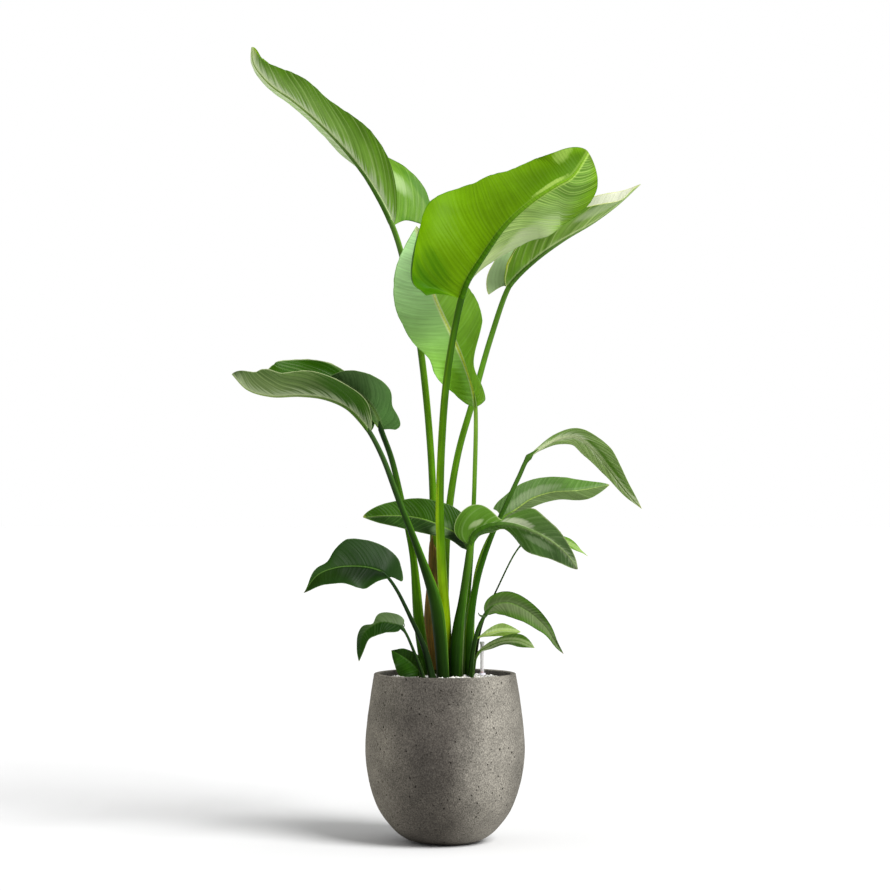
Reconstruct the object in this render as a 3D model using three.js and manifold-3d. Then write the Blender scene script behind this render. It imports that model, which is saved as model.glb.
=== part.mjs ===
// Potted bird of paradise: a bellied concrete pot, pale mineral granules, a water gauge and seventeen
// leaves, each a stalk and a blade. Millimetres, +Z up, the origin in the middle of the pot's base.

import * as THREE from 'three';
import { mergeVertices } from 'three/addons/utils/BufferGeometryUtils.js';
import Module from 'manifold-3d';

const wasm = await Module();
wasm.setup();

// Clearance between pieces that touch
const GAP = 0.35;

// Pot: radius and height along the outer wall, from the flat base to the rim
const POT_OUTSIDE = [
	[50, 0], [73, 4], [97, 17], [118, 38], [139, 68], [156, 112],
	[165, 156], [168, 196], [165.5, 238], [160.5, 280], [154.5, 322], [150, 350],
];
const POT_TOP = 354;
const POT_LIP = 146;
const POT_INSIDE = [
	[141, 354], [138, 350], [137.5, 338], [143, 300], [150, 250], [153.5, 196], [151, 150], [142, 108],
	[124, 66], [90, 28],
];
const POT_FLOOR = 22;
const POT_SIDES = 44;

// Granules: a filling up to the inner wall's third point, with an uneven, slightly domed top
const FILL_FROM = 2;
const FILL_DOME = 10;
const FILL_RINGS = 9;
const GRANULE = 1.4;

// Water gauge: a clear tube in a collar, with a cap and a red float inside
const GAUGE_AT = [79, 42];
const GAUGE_TUBE = { outer: 4.4, inner: 3.4, bottom: 306, top: 412 };
const GAUGE_CAP = { radius: 5.2, top: 417.5, plug: 3, depth: 7 };
const GAUGE_COLLAR = { foot: 12.5, neck: 6.2, bottom: 339.5, edge: 343, top: 351 };
const GAUGE_FLOAT = { radius: 2.9, bottom: 306, top: 355 };

// Leaves
const STATIONS = 96;
const STALK_SIDES = 8;
const BLADE_THICK = 1.1;
const LOBE_AT = 0.07;
const LOBE_FROM = 0.05;
const PINCH_LENGTH = 0.08;

// The brown sheath round the tallest stalk: height share, radius beyond the stalk and half angle
const SHEATH_THICK = 0.9;
const SHEATH_ROWS = [
	[0.03, 0.6, 115], [0.06, 1.2, 118], [0.1, 2.6, 122], [0.14, 3.2, 120], [0.18, 2.4, 112],
	[0.22, 1.6, 104], [0.26, 1.2, 92], [0.29, 1.1, 66], [0.32, 1.1, 22],
];
const SHEATH_TOWARDS = [-0.45, -1, 0];
const SHEATH_COLUMNS = 6;

// One half of a blade, unless the leaf says otherwise. wide: half width in mm. widest: where, as a share of
// the length. full and round: how the base rounds out. long and point: how the tip draws in. lobe: how far
// the base runs back. sweep: how far the veins lean to the tip. fold, curl, hook: how the half stands up
// from the rib, bends all over and rolls at its margin, in degrees from base to tip. wave: ripple in mm.
const HALF = {
	wide: 50, widest: 0.35, full: 2.5, round: 0.55, long: 1.8, point: 1, lobe: 0.1, sweep: 0.1, neck: 0,
	fold: [0], curl: [0], hook: [0], wave: 3,
};

// Leaves: the stalk's and the rib's points, the stalk's thickness from the granules up to the blade, the
// way that the blade's upper side faces at its base, and its two halves
const LEAVES = {
	top_left: {
		stalk: [
			[-20, 34, 328], [-30, 46, 453], [-24, 60, 590], [-29, 80, 804], [-55, 94, 1063], [-89, 94, 1232],
			[-113, 90, 1309],
		],
		rib: [
			[-154, 82, 1389], [-198, 74, 1452], [-258, 58, 1516], [-321, 42, 1569], [-374, 24, 1605],
			[-406, 8, 1645], [-410, 2, 1680],
		],
		thick: [22, 21, 19, 17, 16.5, 16, 16, 15.5, 15, 14, 13],
		face: [1, 0.1, 0.5],
		left: {
			wide: 82, lobe: 0, full: 2, round: 0.8, long: 2.2, point: 0.7, wave: 3.5,
			fold: [60, 55, 39, 30, 34, 36, 26], curl: [10, 10, 10, 10, 10, 0],
		},
		right: {
			wide: 133, widest: 0.15, lobe: 0.13, full: 1.9, round: 0.7, long: 2.6, point: 0.5, wave: 4,
			fold: [50, 36, -18, -30, -28, -28, -20], curl: [30, 30, 70, 110, 110, 120, 110],
		},
		waves: 2.6, phase: 0.4, colour: 0x4f8a35, large: true,
	},
	lime: {
		stalk: [
			[1, -6, 331], [1, -18, 450], [-7, -36, 582], [-11, -50, 718], [-1, -64, 927], [14, -70, 1042],
			[34, -72, 1138],
		],
		rib: [
			[46, -85, 1172], [76, -96, 1219], [124, -105, 1286], [176, -95, 1335], [232, -62, 1376],
			[268, -34, 1400], [304, 6, 1457],
		],
		thick: [26, 25, 22, 20, 18.5, 17, 16, 15.5, 15, 14, 14],
		face: [-0.2, 0.9, 0.3],
		left: {
			wide: 108, widest: 0.5, lobe: 0, full: 2.5, round: 0.65, long: 3, point: 0.5, wave: 4,
			fold: [58, 40, 25, 20, 5], curl: [20, 10, 10, 0],
		},
		right: {
			wide: 165, widest: 0.17, lobe: 0.09, full: 2, long: 1.35, point: 0.65, wave: 1,
			fold: [0, 22, 48, 54, 50, 30, -10], curl: [10, 10, 15, 10], hook: [-190, -120, 0, 0, 0, 0, 0],
		},
		waves: 3, colour: 0x9cc24a, large: true,
	},
	upright: {
		stalk: [
			[35, 32, 328], [46, 38, 481], [57, 45, 623], [63, 44, 761], [65, 40, 917],
		],
		rib: [
			[60, 36, 953], [44, 32, 1004], [16, 28, 1067], [-20, 30, 1146], [-45, 38, 1226], [-61, 52, 1305],
		],
		thick: [16, 14, 11, 10, 9.5, 9.5, 9],
		face: [-0.2, -1, 0.1],
		left: {
			wide: 88, widest: 0.5, lobe: -0.03, full: 3.8, round: 0.6, neck: 0.22, wave: 4,
			fold: [20, 15, 10], curl: [20, 10, 0],
		},
		right: { wide: 91, lobe: 0.03, wave: 4, fold: [45, 70, 24, 20, 24, 24, 20] },
		waves: 3, colour: 0x86b04b, large: true,
	},
	upper_right: {
		stalk: [
			[1, 46, 327], [-1, 51, 505], [6, 62, 676], [27, 72, 815], [60, 82, 933], [98, 88, 1067],
			[136, 90, 1175],
		],
		rib: [
			[153, 98, 1198], [198, 108, 1240], [259, 118, 1284], [323, 126, 1322], [375, 132, 1360],
			[426, 138, 1406],
		],
		thick: [20, 19, 18, 17, 16, 15, 14, 13, 12],
		face: [-0.75, 0, 0.66],
		left: {
			wide: 86, widest: 0.3, lobe: 0.16, full: 1.7, round: 0.75, long: 1.6, wave: 4,
			fold: [60, 60, 60, 50], curl: [20, 20, 10],
		},
		right: {
			wide: 82, lobe: 0, long: 1.4, wave: 4,
			fold: [60, 50, 8, 0], curl: [20, 20, 10, 0], hook: [-150, -60, 0, 0],
		},
		waves: 3, colour: 0x5f9a3a, large: true,
	},
	left: {
		stalk: [
			[-1, -44, 334], [-9, -46, 436], [-20, -48, 510], [-53, -51, 608], [-97, -54, 721],
			[-130, -58, 808], [-157, -60, 860],
		],
		rib: [
			[-176, -64, 885], [-205, -76, 912], [-250, -92, 930], [-301, -104, 935], [-358, -114, 933],
			[-407, -120, 946], [-440, -122, 978],
		],
		thick: [30, 31, 31, 28, 20, 15, 14, 13, 12, 11],
		face: [0.4, 0, 1],
		left: {
			wide: 80, widest: 0.6, lobe: 0, round: 0.7, long: 2.6, point: 0.6, wave: 4,
			fold: [42, 42, 44, 44], curl: [10, 10, 10],
		},
		right: {
			wide: 82, widest: 0.42, lobe: 0, full: 1.8, long: 2.6, point: 0.6, neck: 0.3, wave: 4,
			fold: [60, 55, 50, 40], curl: [20, 10, 0],
		},
		pinch: 0.76, waves: 3, colour: 0x2f6a2c, large: true,
	},
	left_back: {
		stalk: [
			[-36, 2, 331], [-54, 6, 455], [-68, 15, 602], [-91, 25, 712], [-113, 2, 806], [-134, -44, 866],
		],
		rib: [
			[-141, -64, 892], [-160, -77, 922], [-190, -82, 946], [-218, -87, 963], [-246, -90, 972],
		],
		thick: [23, 23, 23, 22, 17, 14, 13, 13, 12.5, 12, 12],
		face: [-0.2, -1, 0.1],
		left: { wide: 16, widest: 0.4, lobe: 0, curl: [10, 10, 0] },
		right: {
			wide: 63, widest: 0.42, full: 3, long: 1.7, lobe: 0.08, neck: 0.3,
			fold: [0, 0, 10, 10], curl: [30, 20, 10, 0],
		},
		pinch: 0.22, waves: 2, colour: 0x2c6428,
	},
	middle_left: {
		stalk: [
			[35, 2, 331], [40, -2, 497], [43, -5, 571], [48, -6, 613],
		],
		rib: [
			[29, -4, 643], [-3, 0, 662], [-53, 2, 680], [-116, -4, 686], [-173, -10, 682],
		],
		thick: [10, 8.5, 7, 6, 6],
		face: [0.3, -0.75, 0.66],
		left: { wide: 43, widest: 0.55, full: 2, long: 1.4, lobe: 0.03, wave: 2, fold: [15] },
		right: { wide: 51, widest: 0.25, full: 1.6, long: 1.1, point: 0.6, lobe: 0, wave: 2, fold: [15] },
		waves: 2, colour: 0x6fa244,
	},
	low_left: {
		stalk: [
			[-24, -60, 335], [-42, -64, 408], [-71, -74, 473], [-100, -88, 532], [-117, -95, 557],
		],
		rib: [
			[-128, -99, 569], [-152, -101, 578], [-187, -106, 582], [-225, -114, 579], [-262, -124, 564],
			[-290, -134, 528],
		],
		thick: [16, 13.5, 11, 8.5, 7.5, 6.5],
		face: [0.3, -0.8, 0.6],
		left: {
			wide: 52, full: 1.7, round: 0.85, long: 1.6, point: 0.8, lobe: 0, sweep: -0.08, wave: 5,
			fold: [10, 0, 10],
		},
		right: {
			wide: 60, widest: 0.5, full: 3.2, round: 0.95, long: 1.1, point: 1.8, lobe: 0.17, sweep: -0.08,
			neck: 0.4, wave: 2, fold: [12, 10, 10],
		},
		pinch: 0.69, waves: 2, phase: 0.1, colour: 0x4c8c3c,
	},
	lowest_left: {
		stalk: [
			[-40, -76, 337], [-63, -82, 401], [-89, -95, 454],
		],
		rib: [
			[-108, -98, 463], [-131, -101, 466], [-153, -105, 456], [-170, -110, 438], [-177, -118, 386],
		],
		thick: [9, 7, 6, 5.5],
		face: [0.3, -0.5, 0.85],
		left: { wide: 27, widest: 0.3, lobe: 0.02, sweep: -0.03, wave: 1.5, fold: [-10, -20, 0] },
		right: {
			wide: 25, widest: 0.2, long: 1.5, point: 0.8, lobe: 0.02, sweep: -0.03, neck: 0.8, wave: 1.5,
			fold: [30, 20, 0, 0],
		},
		pinch: 0.45, waves: 2, colour: 0x55913f,
	},
	rim_left: {
		stalk: [
			[-52, -42, 331], [-51, -43, 351],
		],
		rib: [
			[-66, -46, 374], [-90, -50, 393], [-112, -54, 405],
		],
		thick: [10, 8],
		face: [0.2, -0.9, 0.3],
		left: { wide: 36, full: 1.5, lobe: 0 },
		right: { wide: 22, full: 1.5, lobe: 0, fold: [20] },
		waves: 2, colour: 0x2e6a34,
	},
	right: {
		stalk: [
			[22, -24, 333], [27, -28, 438], [37, -33, 509], [46, -38, 572], [54, -44, 624],
		],
		rib: [
			[62, -47, 647], [79, -51, 659], [106, -57, 667], [143, -64, 666], [182, -74, 654],
			[224, -84, 631], [252, -90, 607], [275, -94, 575],
		],
		thick: [29, 29, 28, 27, 20, 16.5, 16, 15, 14],
		face: [0.1, 1, 0.35],
		left: {
			wide: 48, widest: 0.4, full: 2, point: 0.75, lobe: 0, neck: 0.7,
			fold: [60, 50, 30, 0, 0, 0, 0],
		},
		right: {
			wide: 66, widest: 0.15, full: 2, long: 0.9, point: 0.85, lobe: 0, neck: 0.75,
			fold: [0, 30, 32, 0, 0, 0, 0], curl: [20, 40, 30, 0, 0, 0],
		},
		waves: 3, colour: 0x5c9440, large: true,
	},
	right_back: {
		stalk: [
			[57, 28, 329], [58, 32, 464], [67, 35, 566], [91, 39, 633], [122, 42, 679],
		],
		rib: [
			[151, 47, 698], [185, 55, 721], [230, 66, 735], [287, 80, 739], [354, 94, 751],
		],
		thick: [13, 12, 10.5, 9, 8, 7.5, 7],
		face: [0, -0.75, 0.66],
		left: { wide: 40, widest: 0.3, full: 4, long: 1.2, point: 0.75, lobe: 0.07, wave: 2, fold: [20] },
		right: { wide: 38, widest: 0.55, full: 1.2, long: 2.5, lobe: 0.02, wave: 2, fold: [20] },
		waves: 2, colour: 0x74a84a,
	},
	arching_right: {
		stalk: [
			[46, 16, 330], [52, 12, 454], [67, 12, 545], [97, 10, 638], [126, 8, 702], [156, 3, 767],
			[177, 0, 809],
		],
		rib: [
			[204, 0, 830], [238, 0, 848], [278, -2, 852], [312, -6, 826], [347, -10, 782], [381, -14, 737],
			[414, -18, 700],
		],
		thick: [18, 18, 18, 17, 13, 11.5, 10.5, 10, 9.5, 9],
		face: [-0.2, 0.6, 0.8],
		left: { wide: 42, widest: 0.37, round: 1, full: 1.3, long: 1.3, lobe: 0, wave: 1.5, fold: [10] },
		right: { wide: 37, widest: 0.5, round: 1, full: 1.2, long: 1.3, lobe: 0, wave: 1.5, fold: [10] },
		waves: 2, colour: 0x8cb663,
	},
	low_right_back: {
		stalk: [
			[58, 50, 327], [66, 52, 390], [79, 56, 454], [117, 59, 541], [151, 62, 607], [167, 62, 625],
		],
		rib: [
			[207, 70, 633], [259, 82, 628], [307, 94, 598],
		],
		thick: [7, 6, 5, 4, 3.5, 3.5, 3.5],
		face: [0, -0.7, 0.7],
		left: { wide: 15, lobe: 0, wave: 2, fold: [10] },
		right: { wide: 15, lobe: 0, wave: 2, fold: [10] },
		waves: 2, colour: 0x55913f,
	},
	low_right: {
		stalk: [
			[52, -40, 334], [59, -46, 405], [70, -54, 452], [85, -65, 481],
		],
		rib: [
			[101, -69, 499], [131, -76, 505], [171, -87, 488], [206, -99, 457], [228, -110, 424],
			[244, -120, 402],
		],
		thick: [12, 10, 9, 8, 6.5],
		face: [0.1, -0.75, 0.65],
		left: { wide: 24, widest: 0.2, full: 2, long: 1.1, lobe: 0, wave: 2.5, fold: [10] },
		right: { wide: 30, widest: 0.3, long: 1.5, lobe: 0, wave: 2.5, fold: [10, 10, 15, 35, 46, 46, 40] },
		waves: 2.5, colour: 0x4c8c3c,
	},
	small_back: {
		stalk: [
			[54, -12, 332], [58, -6, 403], [63, 3, 423], [71, 8, 428],
		],
		rib: [
			[90, 12, 435], [120, 24, 442], [161, 42, 438],
		],
		thick: [8, 6, 5, 4, 4],
		face: [0, -0.7, 0.7],
		left: { wide: 19, widest: 0.55, full: 1.3, round: 0.8, lobe: 0, wave: 2, fold: [10] },
		right: { wide: 19, widest: 0.55, full: 1.3, round: 0.8, lobe: 0, wave: 2, fold: [10] },
		waves: 1, colour: 0x9fb552,
	},
	small_front: {
		stalk: [
			[56, -23, 333], [60, -24, 366], [70, -26, 398],
		],
		rib: [
			[87, -30, 409], [121, -38, 423], [154, -46, 424], [187, -54, 410],
		],
		thick: [8, 6, 5, 5],
		face: [0, -0.6, 0.8],
		left: { wide: 15, widest: 0.65, full: 1.2, lobe: 0, wave: 2, fold: [10] },
		right: { wide: 14, widest: 0.65, full: 1.2, lobe: 0, wave: 2, fold: [10] },
		waves: 2, colour: 0x5c9440,
	},
};

const part = new THREE.Group();

// A named piece with a material of its own
function place(name, geometry, color, roughness, more = {}) {
	geometry.computeVertexNormals();
	const material = new THREE.MeshStandardMaterial({ color, roughness, metalness: 0, ...more });
	const mesh = new THREE.Mesh(geometry, material);
	mesh.name = name;
	part.add(mesh);
}

// A geometry with shared corners and no collapsed triangles
function closed(geometry) {
	geometry.deleteAttribute('normal');
	geometry.deleteAttribute('uv');
	const merged = mergeVertices(geometry);
	const index = merged.index.array;
	const kept = [];
	for (let k = 0; k < index.length; k += 3) {
		const [a, b, c] = index.subarray(k, k + 3);
		if (a !== b && b !== c && c !== a) kept.push(a, b, c);
	}
	merged.setIndex(kept);
	return merged;
}

function solidOf(geometry) {
	const mesh = new wasm.Mesh({
		numProp: 3,
		vertProperties: new Float32Array(geometry.attributes.position.array),
		triVerts: new Uint32Array(geometry.index.array),
	});
	return new wasm.Manifold(mesh);
}

function geometryOf(solid) {
	const mesh = solid.getMesh();
	const geometry = new THREE.BufferGeometry();
	geometry.setAttribute('position', new THREE.BufferAttribute(mesh.vertProperties, 3));
	geometry.setIndex(new THREE.BufferAttribute(mesh.triVerts, 1));
	return geometry;
}

// A geometry with plain holes in the shape of the others, without loose scraps
function cutBy(geometry, cutters) {
	const solid = cutters.reduce((whole, cutter) => whole.subtract(solidOf(cutter)), solidOf(geometry));
	const bodies = solid.decompose().sort((a, b) => b.volume() - a.volume());
	return geometryOf(bodies[0]);
}

// A closed skin over rings of points that all have the same count
function loft(rings) {
	const around = rings[0].length;
	const positions = rings.flat().flatMap((p) => p.toArray());
	const index = [];
	for (let i = 0; i + 1 < rings.length; i++) {
		for (let j = 0; j < around; j++) {
			const a = i * around + j;
			const b = i * around + (j + 1) % around;
			index.push(a, b, b + around, a, b + around, a + around);
		}
	}
	const last = (rings.length - 1) * around;
	for (let j = 1; j + 1 < around; j++) {
		index.push(0, j + 1, j, last, last + j, last + j + 1);
	}
	const geometry = new THREE.BufferGeometry();
	geometry.setAttribute('position', new THREE.Float32BufferAttribute(positions, 3));
	geometry.setIndex(index);
	return geometry;
}

// A closed sheet between two grids of points, both cut into the same triangles
function sheet(above, below) {
	const rows = above.length;
	const columns = above[0].length;
	const positions = [...above.flat(), ...below.flat()].flatMap((p) => p.toArray());
	const under = rows * columns;
	const at = (i, j) => i * columns + j;
	const index = [];
	for (let i = 0; i + 1 < rows; i++) {
		for (let j = 0; j + 1 < columns; j++) {
			const [a, b, c, d] = [at(i, j), at(i, j + 1), at(i + 1, j + 1), at(i + 1, j)];
			index.push(a, b, c, a, c, d);
			index.push(under + a, under + c, under + b, under + a, under + d, under + c);
		}
	}
	const edge = [];
	for (let j = 0; j + 1 < columns; j++) edge.push(at(0, j));
	for (let i = 0; i + 1 < rows; i++) edge.push(at(i, columns - 1));
	for (let j = columns - 1; j > 0; j--) edge.push(at(rows - 1, j));
	for (let i = rows - 1; i > 0; i--) edge.push(at(i, 0));
	edge.forEach((a, k) => {
		const b = edge[(k + 1) % edge.length];
		index.push(a, under + b, b, a, under + a, under + b);
	});
	const geometry = new THREE.BufferGeometry();
	geometry.setAttribute('position', new THREE.Float32BufferAttribute(positions, 3));
	geometry.setIndex(index);
	return geometry;
}

// A profile of radius and height turned round the upright axis
function turned(profile, sides) {
	const points = profile.map(([radius, height]) => new THREE.Vector2(radius, height));
	return closed(new THREE.LatheGeometry(points, sides).rotateX(Math.PI / 2));
}

function pot() {
	const curve = new THREE.SplineCurve(POT_OUTSIDE.map((p) => new THREE.Vector2(...p)));
	const outside = curve.getPoints(13).map((p) => p.toArray());
	return turned([[0, 0], ...outside, [POT_LIP, POT_TOP], ...POT_INSIDE, [0, POT_FLOOR]], POT_SIDES);
}

// The filling's top rises in the middle, and each corner of it lies a little higher or lower
function filling() {
	const wall = POT_INSIDE.slice(FILL_FROM).reverse();
	const side = wall.map(([radius, height]) => [radius - GAP, height + GAP]);
	const [edge, foot] = side.at(-1);
	const top = [];
	for (let k = 1; k <= FILL_RINGS; k++) {
		const share = 1 - k / FILL_RINGS;
		top.push([edge * share, foot + FILL_DOME * (1 - share * share)]);
	}
	const geometry = turned([[0, POT_FLOOR + GAP], ...side, ...top], POT_SIDES);
	const position = geometry.attributes.position;
	for (let k = 0; k < position.count; k++) {
		const [x, y, z] = [position.getX(k), position.getY(k), position.getZ(k)];
		const uneven = Math.sin(1.7 * x + 0.4 * y) * Math.sin(2.1 * y - 0.6 * x);
		if (z > foot + GAP) position.setZ(k, z + GRANULE * uneven);
	}
	return geometry;
}

// A turned piece of the gauge, in its place
function pin(profile, sides) {
	return turned(profile, sides).translate(...GAUGE_AT, 0);
}

// A leaf's line: from the granules up the stalk, then along the rib to the tip
function lineOf(leaf) {
	const points = [...leaf.stalk, ...leaf.rib].map((p) => new THREE.Vector3(...p));
	return new THREE.CatmullRomCurve3(points, false, 'centripetal');
}

const jointOf = (leaf) => (leaf.stalk.length - 1) / (leaf.stalk.length + leaf.rib.length - 1);

// Points, tangents and an untwisted face direction at even distances on a stretch of a curve
function travel(curve, start, end, count, face) {
	const fine = 160;
	const marks = [];
	let length = 0;
	for (let k = 0; k <= fine; k++) {
		const u = THREE.MathUtils.lerp(start, end, k / fine);
		const point = curve.getPoint(u);
		if (k > 0) length += point.distanceTo(marks[k - 1].point);
		marks.push({ u, point, length });
	}
	const stops = [];
	let m = 0;
	let up = new THREE.Vector3(...face);
	for (let k = 0; k <= count; k++) {
		const wanted = length * k / count;
		while (m < fine - 1 && marks[m + 1].length < wanted) m++;
		const share = (wanted - marks[m].length) / (marks[m + 1].length - marks[m].length);
		const point = marks[m].point.clone().lerp(marks[m + 1].point, share);
		const along = curve.getTangent(THREE.MathUtils.lerp(marks[m].u, marks[m + 1].u, share));
		up = up.clone().addScaledVector(along, -up.dot(along)).normalize();
		stops.push({ point, along, up, right: along.clone().cross(up) });
	}
	return { stops, length };
}

// A list of values at even steps, read at s from 0 to 1 along a smooth curve through them
function eased(values, s) {
	const last = values.length - 1;
	const k = THREE.MathUtils.clamp(s, 0, 1) * last;
	const i = Math.min(Math.floor(k), Math.max(last - 1, 0));
	const [a, b, c, d] = [-1, 0, 1, 2].map((j) => values[THREE.MathUtils.clamp(i + j, 0, last)]);
	const w = k - i;
	return b + 0.5 * w * (c - a + w * (2 * a - 5 * b + 4 * c - d + w * (3 * (b - c) + d - a)));
}

const thicknessAt = (leaf, s) => {
	const k = s * (leaf.thick.length - 1);
	const i = Math.min(Math.floor(k), leaf.thick.length - 2);
	return THREE.MathUtils.lerp(leaf.thick[i], leaf.thick[i + 1], k - i);
};

// A stalk, or with more the space that it and its clearance take up
function stalk(leaf, more = 0) {
	const rings = leaf.large ? 14 : 9;
	const { stops } = travel(lineOf(leaf), 0, jointOf(leaf), leaf.stalk.length > 2 ? rings : 2, leaf.face);
	stops[0].point.addScaledVector(stops[0].along, -more);
	stops.at(-1).point.addScaledVector(stops.at(-1).along, more);
	return loft(stops.map(({ point, up, right }, k) => {
		const radius = thicknessAt(leaf, k / (stops.length - 1)) / 2 + more;
		const ring = [];
		for (let j = 0; j < STALK_SIDES; j++) {
			const turn = 2 * Math.PI * (j + 0.5) / STALK_SIDES;
			ring.push(point.clone().addScaledVector(right, radius * Math.cos(turn))
				.addScaledVector(up, -radius * Math.sin(turn)));
		}
		return ring;
	}));
}

// Half width at s from base to tip: rounded up to the widest place, then drawn to the tip
function halfWidth(leaf, half, s) {
	const low = Math.max(1 - s / half.widest, 0) ** half.full;
	const high = Math.max((s - half.widest) / (1 - half.widest), 0) ** half.long;
	const neck = 1 - half.neck * Math.exp(-(((s - (leaf.pinch ?? 0.25)) / PINCH_LENGTH) ** 2));
	return half.wide * neck * Math.max(1 - low, 0) ** half.round * Math.max(1 - high, 0) ** half.point;
}

// A point of the blade's middle surface at s along the rib and d out from it, on the left or right half
function bladePoint(leaf, path, s, side, d) {
	const half = { ...HALF, ...(side < 0 ? leaf.left : leaf.right) };
	const width = halfWidth(leaf, half, s);
	const back = half.lobe * (s / LOBE_AT) * Math.exp(1 - s / LOBE_AT) * Math.min(1, s / LOBE_FROM);
	const x = s + (half.sweep * 4 * s * (1 - s) * (1 - 0.5 * s) - back) * d ** 1.4;
	const [fold, curl, hook] = [half.fold, half.curl, half.hook]
		.map((list) => THREE.MathUtils.degToRad(eased(list, s)));
	const angle = (e) => fold + curl * e + hook * e ** 4;
	const steps = 12;
	let [across, up] = [0, 0];
	for (let k = 0; k < steps; k++) {
		const turn = angle(d * (k + 0.5) / steps);
		across += width * d / steps * Math.cos(turn);
		up += width * d / steps * Math.sin(turn);
	}
	const place = (leaf.waves * s + (leaf.phase ?? 0) + (side > 0 ? 0.35 : 0)) * 2 * Math.PI;
	const wave = half.wave * d * d * Math.min(1, 6 * s * (1 - s) + 0.2) * Math.sin(place);
	const k = THREE.MathUtils.clamp(x, 0, 1) * STATIONS;
	const i = Math.min(Math.floor(k), STATIONS - 1);
	const [low, high] = [path.stops[i], path.stops[i + 1]];
	const mix = (key) => low[key].clone().lerp(high[key], k - i);
	return mix('point')
		.addScaledVector(mix('along').normalize(), (x - THREE.MathUtils.clamp(x, 0, 1)) * path.length)
		.addScaledVector(mix('right').normalize(), side * (across - Math.sin(angle(d)) * wave))
		.addScaledVector(mix('up').normalize(), up + Math.cos(angle(d)) * wave);
}

// A blade: its middle surface thickened to both sides, with a rib underneath that thins out to the tip
function blade(leaf) {
	const path = travel(lineOf(leaf), jointOf(leaf), 1, STATIONS, leaf.face);
	const rows = leaf.large ? 15 : 10;
	const outward = leaf.large ? [0.36, 0.7, 1] : [0.5, 1];
	const neck = leaf.thick.at(-1) / 2;
	const start = 1.3 * GAP / path.length;
	const grid = [];
	for (let i = 0; i <= rows; i++) {
		const s = start + (0.985 - start) * (i / rows) ** 1.35;
		const rib = neck * 0.8 * (1 - s) ** 0.8 + 0.8;
		const half = (side) => {
			const shape = { ...HALF, ...(side < 0 ? leaf.left : leaf.right) };
			const near = Math.min(rib / halfWidth(leaf, shape, s), outward[0] * 0.6);
			return [near, ...outward].map((d) => bladePoint(leaf, path, s, side, d));
		};
		const middle = bladePoint(leaf, path, s, 1, 0);
		grid.push([...half(-1).reverse(), middle, ...half(1)]);
	}
	const columns = grid[0].length;
	const centre = (columns - 1) / 2;
	const above = [];
	const below = [];
	grid.forEach((row, i) => {
		const s = start + (0.985 - start) * (i / rows) ** 1.35;
		const depth = neck * (1 - s) ** 0.8;
		above.push([]);
		below.push([]);
		row.forEach((point, j) => {
			const [before, after] = [grid[Math.max(i - 1, 0)], grid[Math.min(i + 1, rows)]];
			const lengthwise = after[j].clone().sub(before[j]);
			const crosswise = row[Math.min(j + 1, columns - 1)].clone().sub(row[Math.max(j - 1, 0)]);
			const normal = crosswise.cross(lengthwise);
			if (i === 0) normal.addScaledVector(path.stops[0].along, -normal.dot(path.stops[0].along));
			normal.normalize();
			const under = BLADE_THICK / 2 + (j === centre ? depth : 0);
			above[i].push(point.clone().addScaledVector(normal, BLADE_THICK / 2));
			below[i].push(point.clone().addScaledVector(normal, -under));
		});
	});
	return sheet(above, below);
}

// The dry sheath: a curved sheet that stands off the tallest stalk and narrows to its top
function sheath(leaf) {
	const { stops } = travel(lineOf(leaf), 0, jointOf(leaf), 100, leaf.face);
	const [above, below] = [[], []];
	for (const [share, off, degrees] of SHEATH_ROWS) {
		const { point, along } = stops[Math.round(share * 100)];
		const front = new THREE.Vector3(...SHEATH_TOWARDS);
		front.addScaledVector(along, -front.dot(along)).normalize();
		const side = along.clone().cross(front);
		const inner = thicknessAt(leaf, share) / 2 + GAP + off;
		const row = (radius) => {
			const line = [];
			for (let j = 0; j <= SHEATH_COLUMNS; j++) {
				const turn = THREE.MathUtils.degToRad(degrees) * (2 * j / SHEATH_COLUMNS - 1);
				line.push(point.clone().addScaledVector(front, radius * Math.cos(turn))
					.addScaledVector(side, radius * Math.sin(turn)));
			}
			return line;
		};
		above.push(row(inner + SHEATH_THICK));
		below.push(row(inner));
	}
	return sheet(above, below);
}

for (const [name, leaf] of Object.entries(LEAVES)) {
	place(`stalk_${name}`, stalk(leaf), leaf.colour, 0.5);
	place(`blade_${name}`, blade(leaf), leaf.colour, 0.45, { side: THREE.DoubleSide });
}
place('dry_sheath', sheath(LEAVES.top_left), 0x8a5a3a, 0.9);

const gaugeHole = pin([
	[0, GAUGE_TUBE.bottom - GAP], [GAUGE_TUBE.outer + GAP, GAUGE_TUBE.bottom - GAP],
	[GAUGE_TUBE.outer + GAP, POT_TOP], [0, POT_TOP],
], 16);
const collarSeat = pin([
	[0, GAUGE_COLLAR.bottom - GAP], [GAUGE_COLLAR.foot + GAP, GAUGE_COLLAR.bottom - GAP],
	[GAUGE_COLLAR.foot + GAP, POT_TOP], [0, POT_TOP],
], 20);

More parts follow.
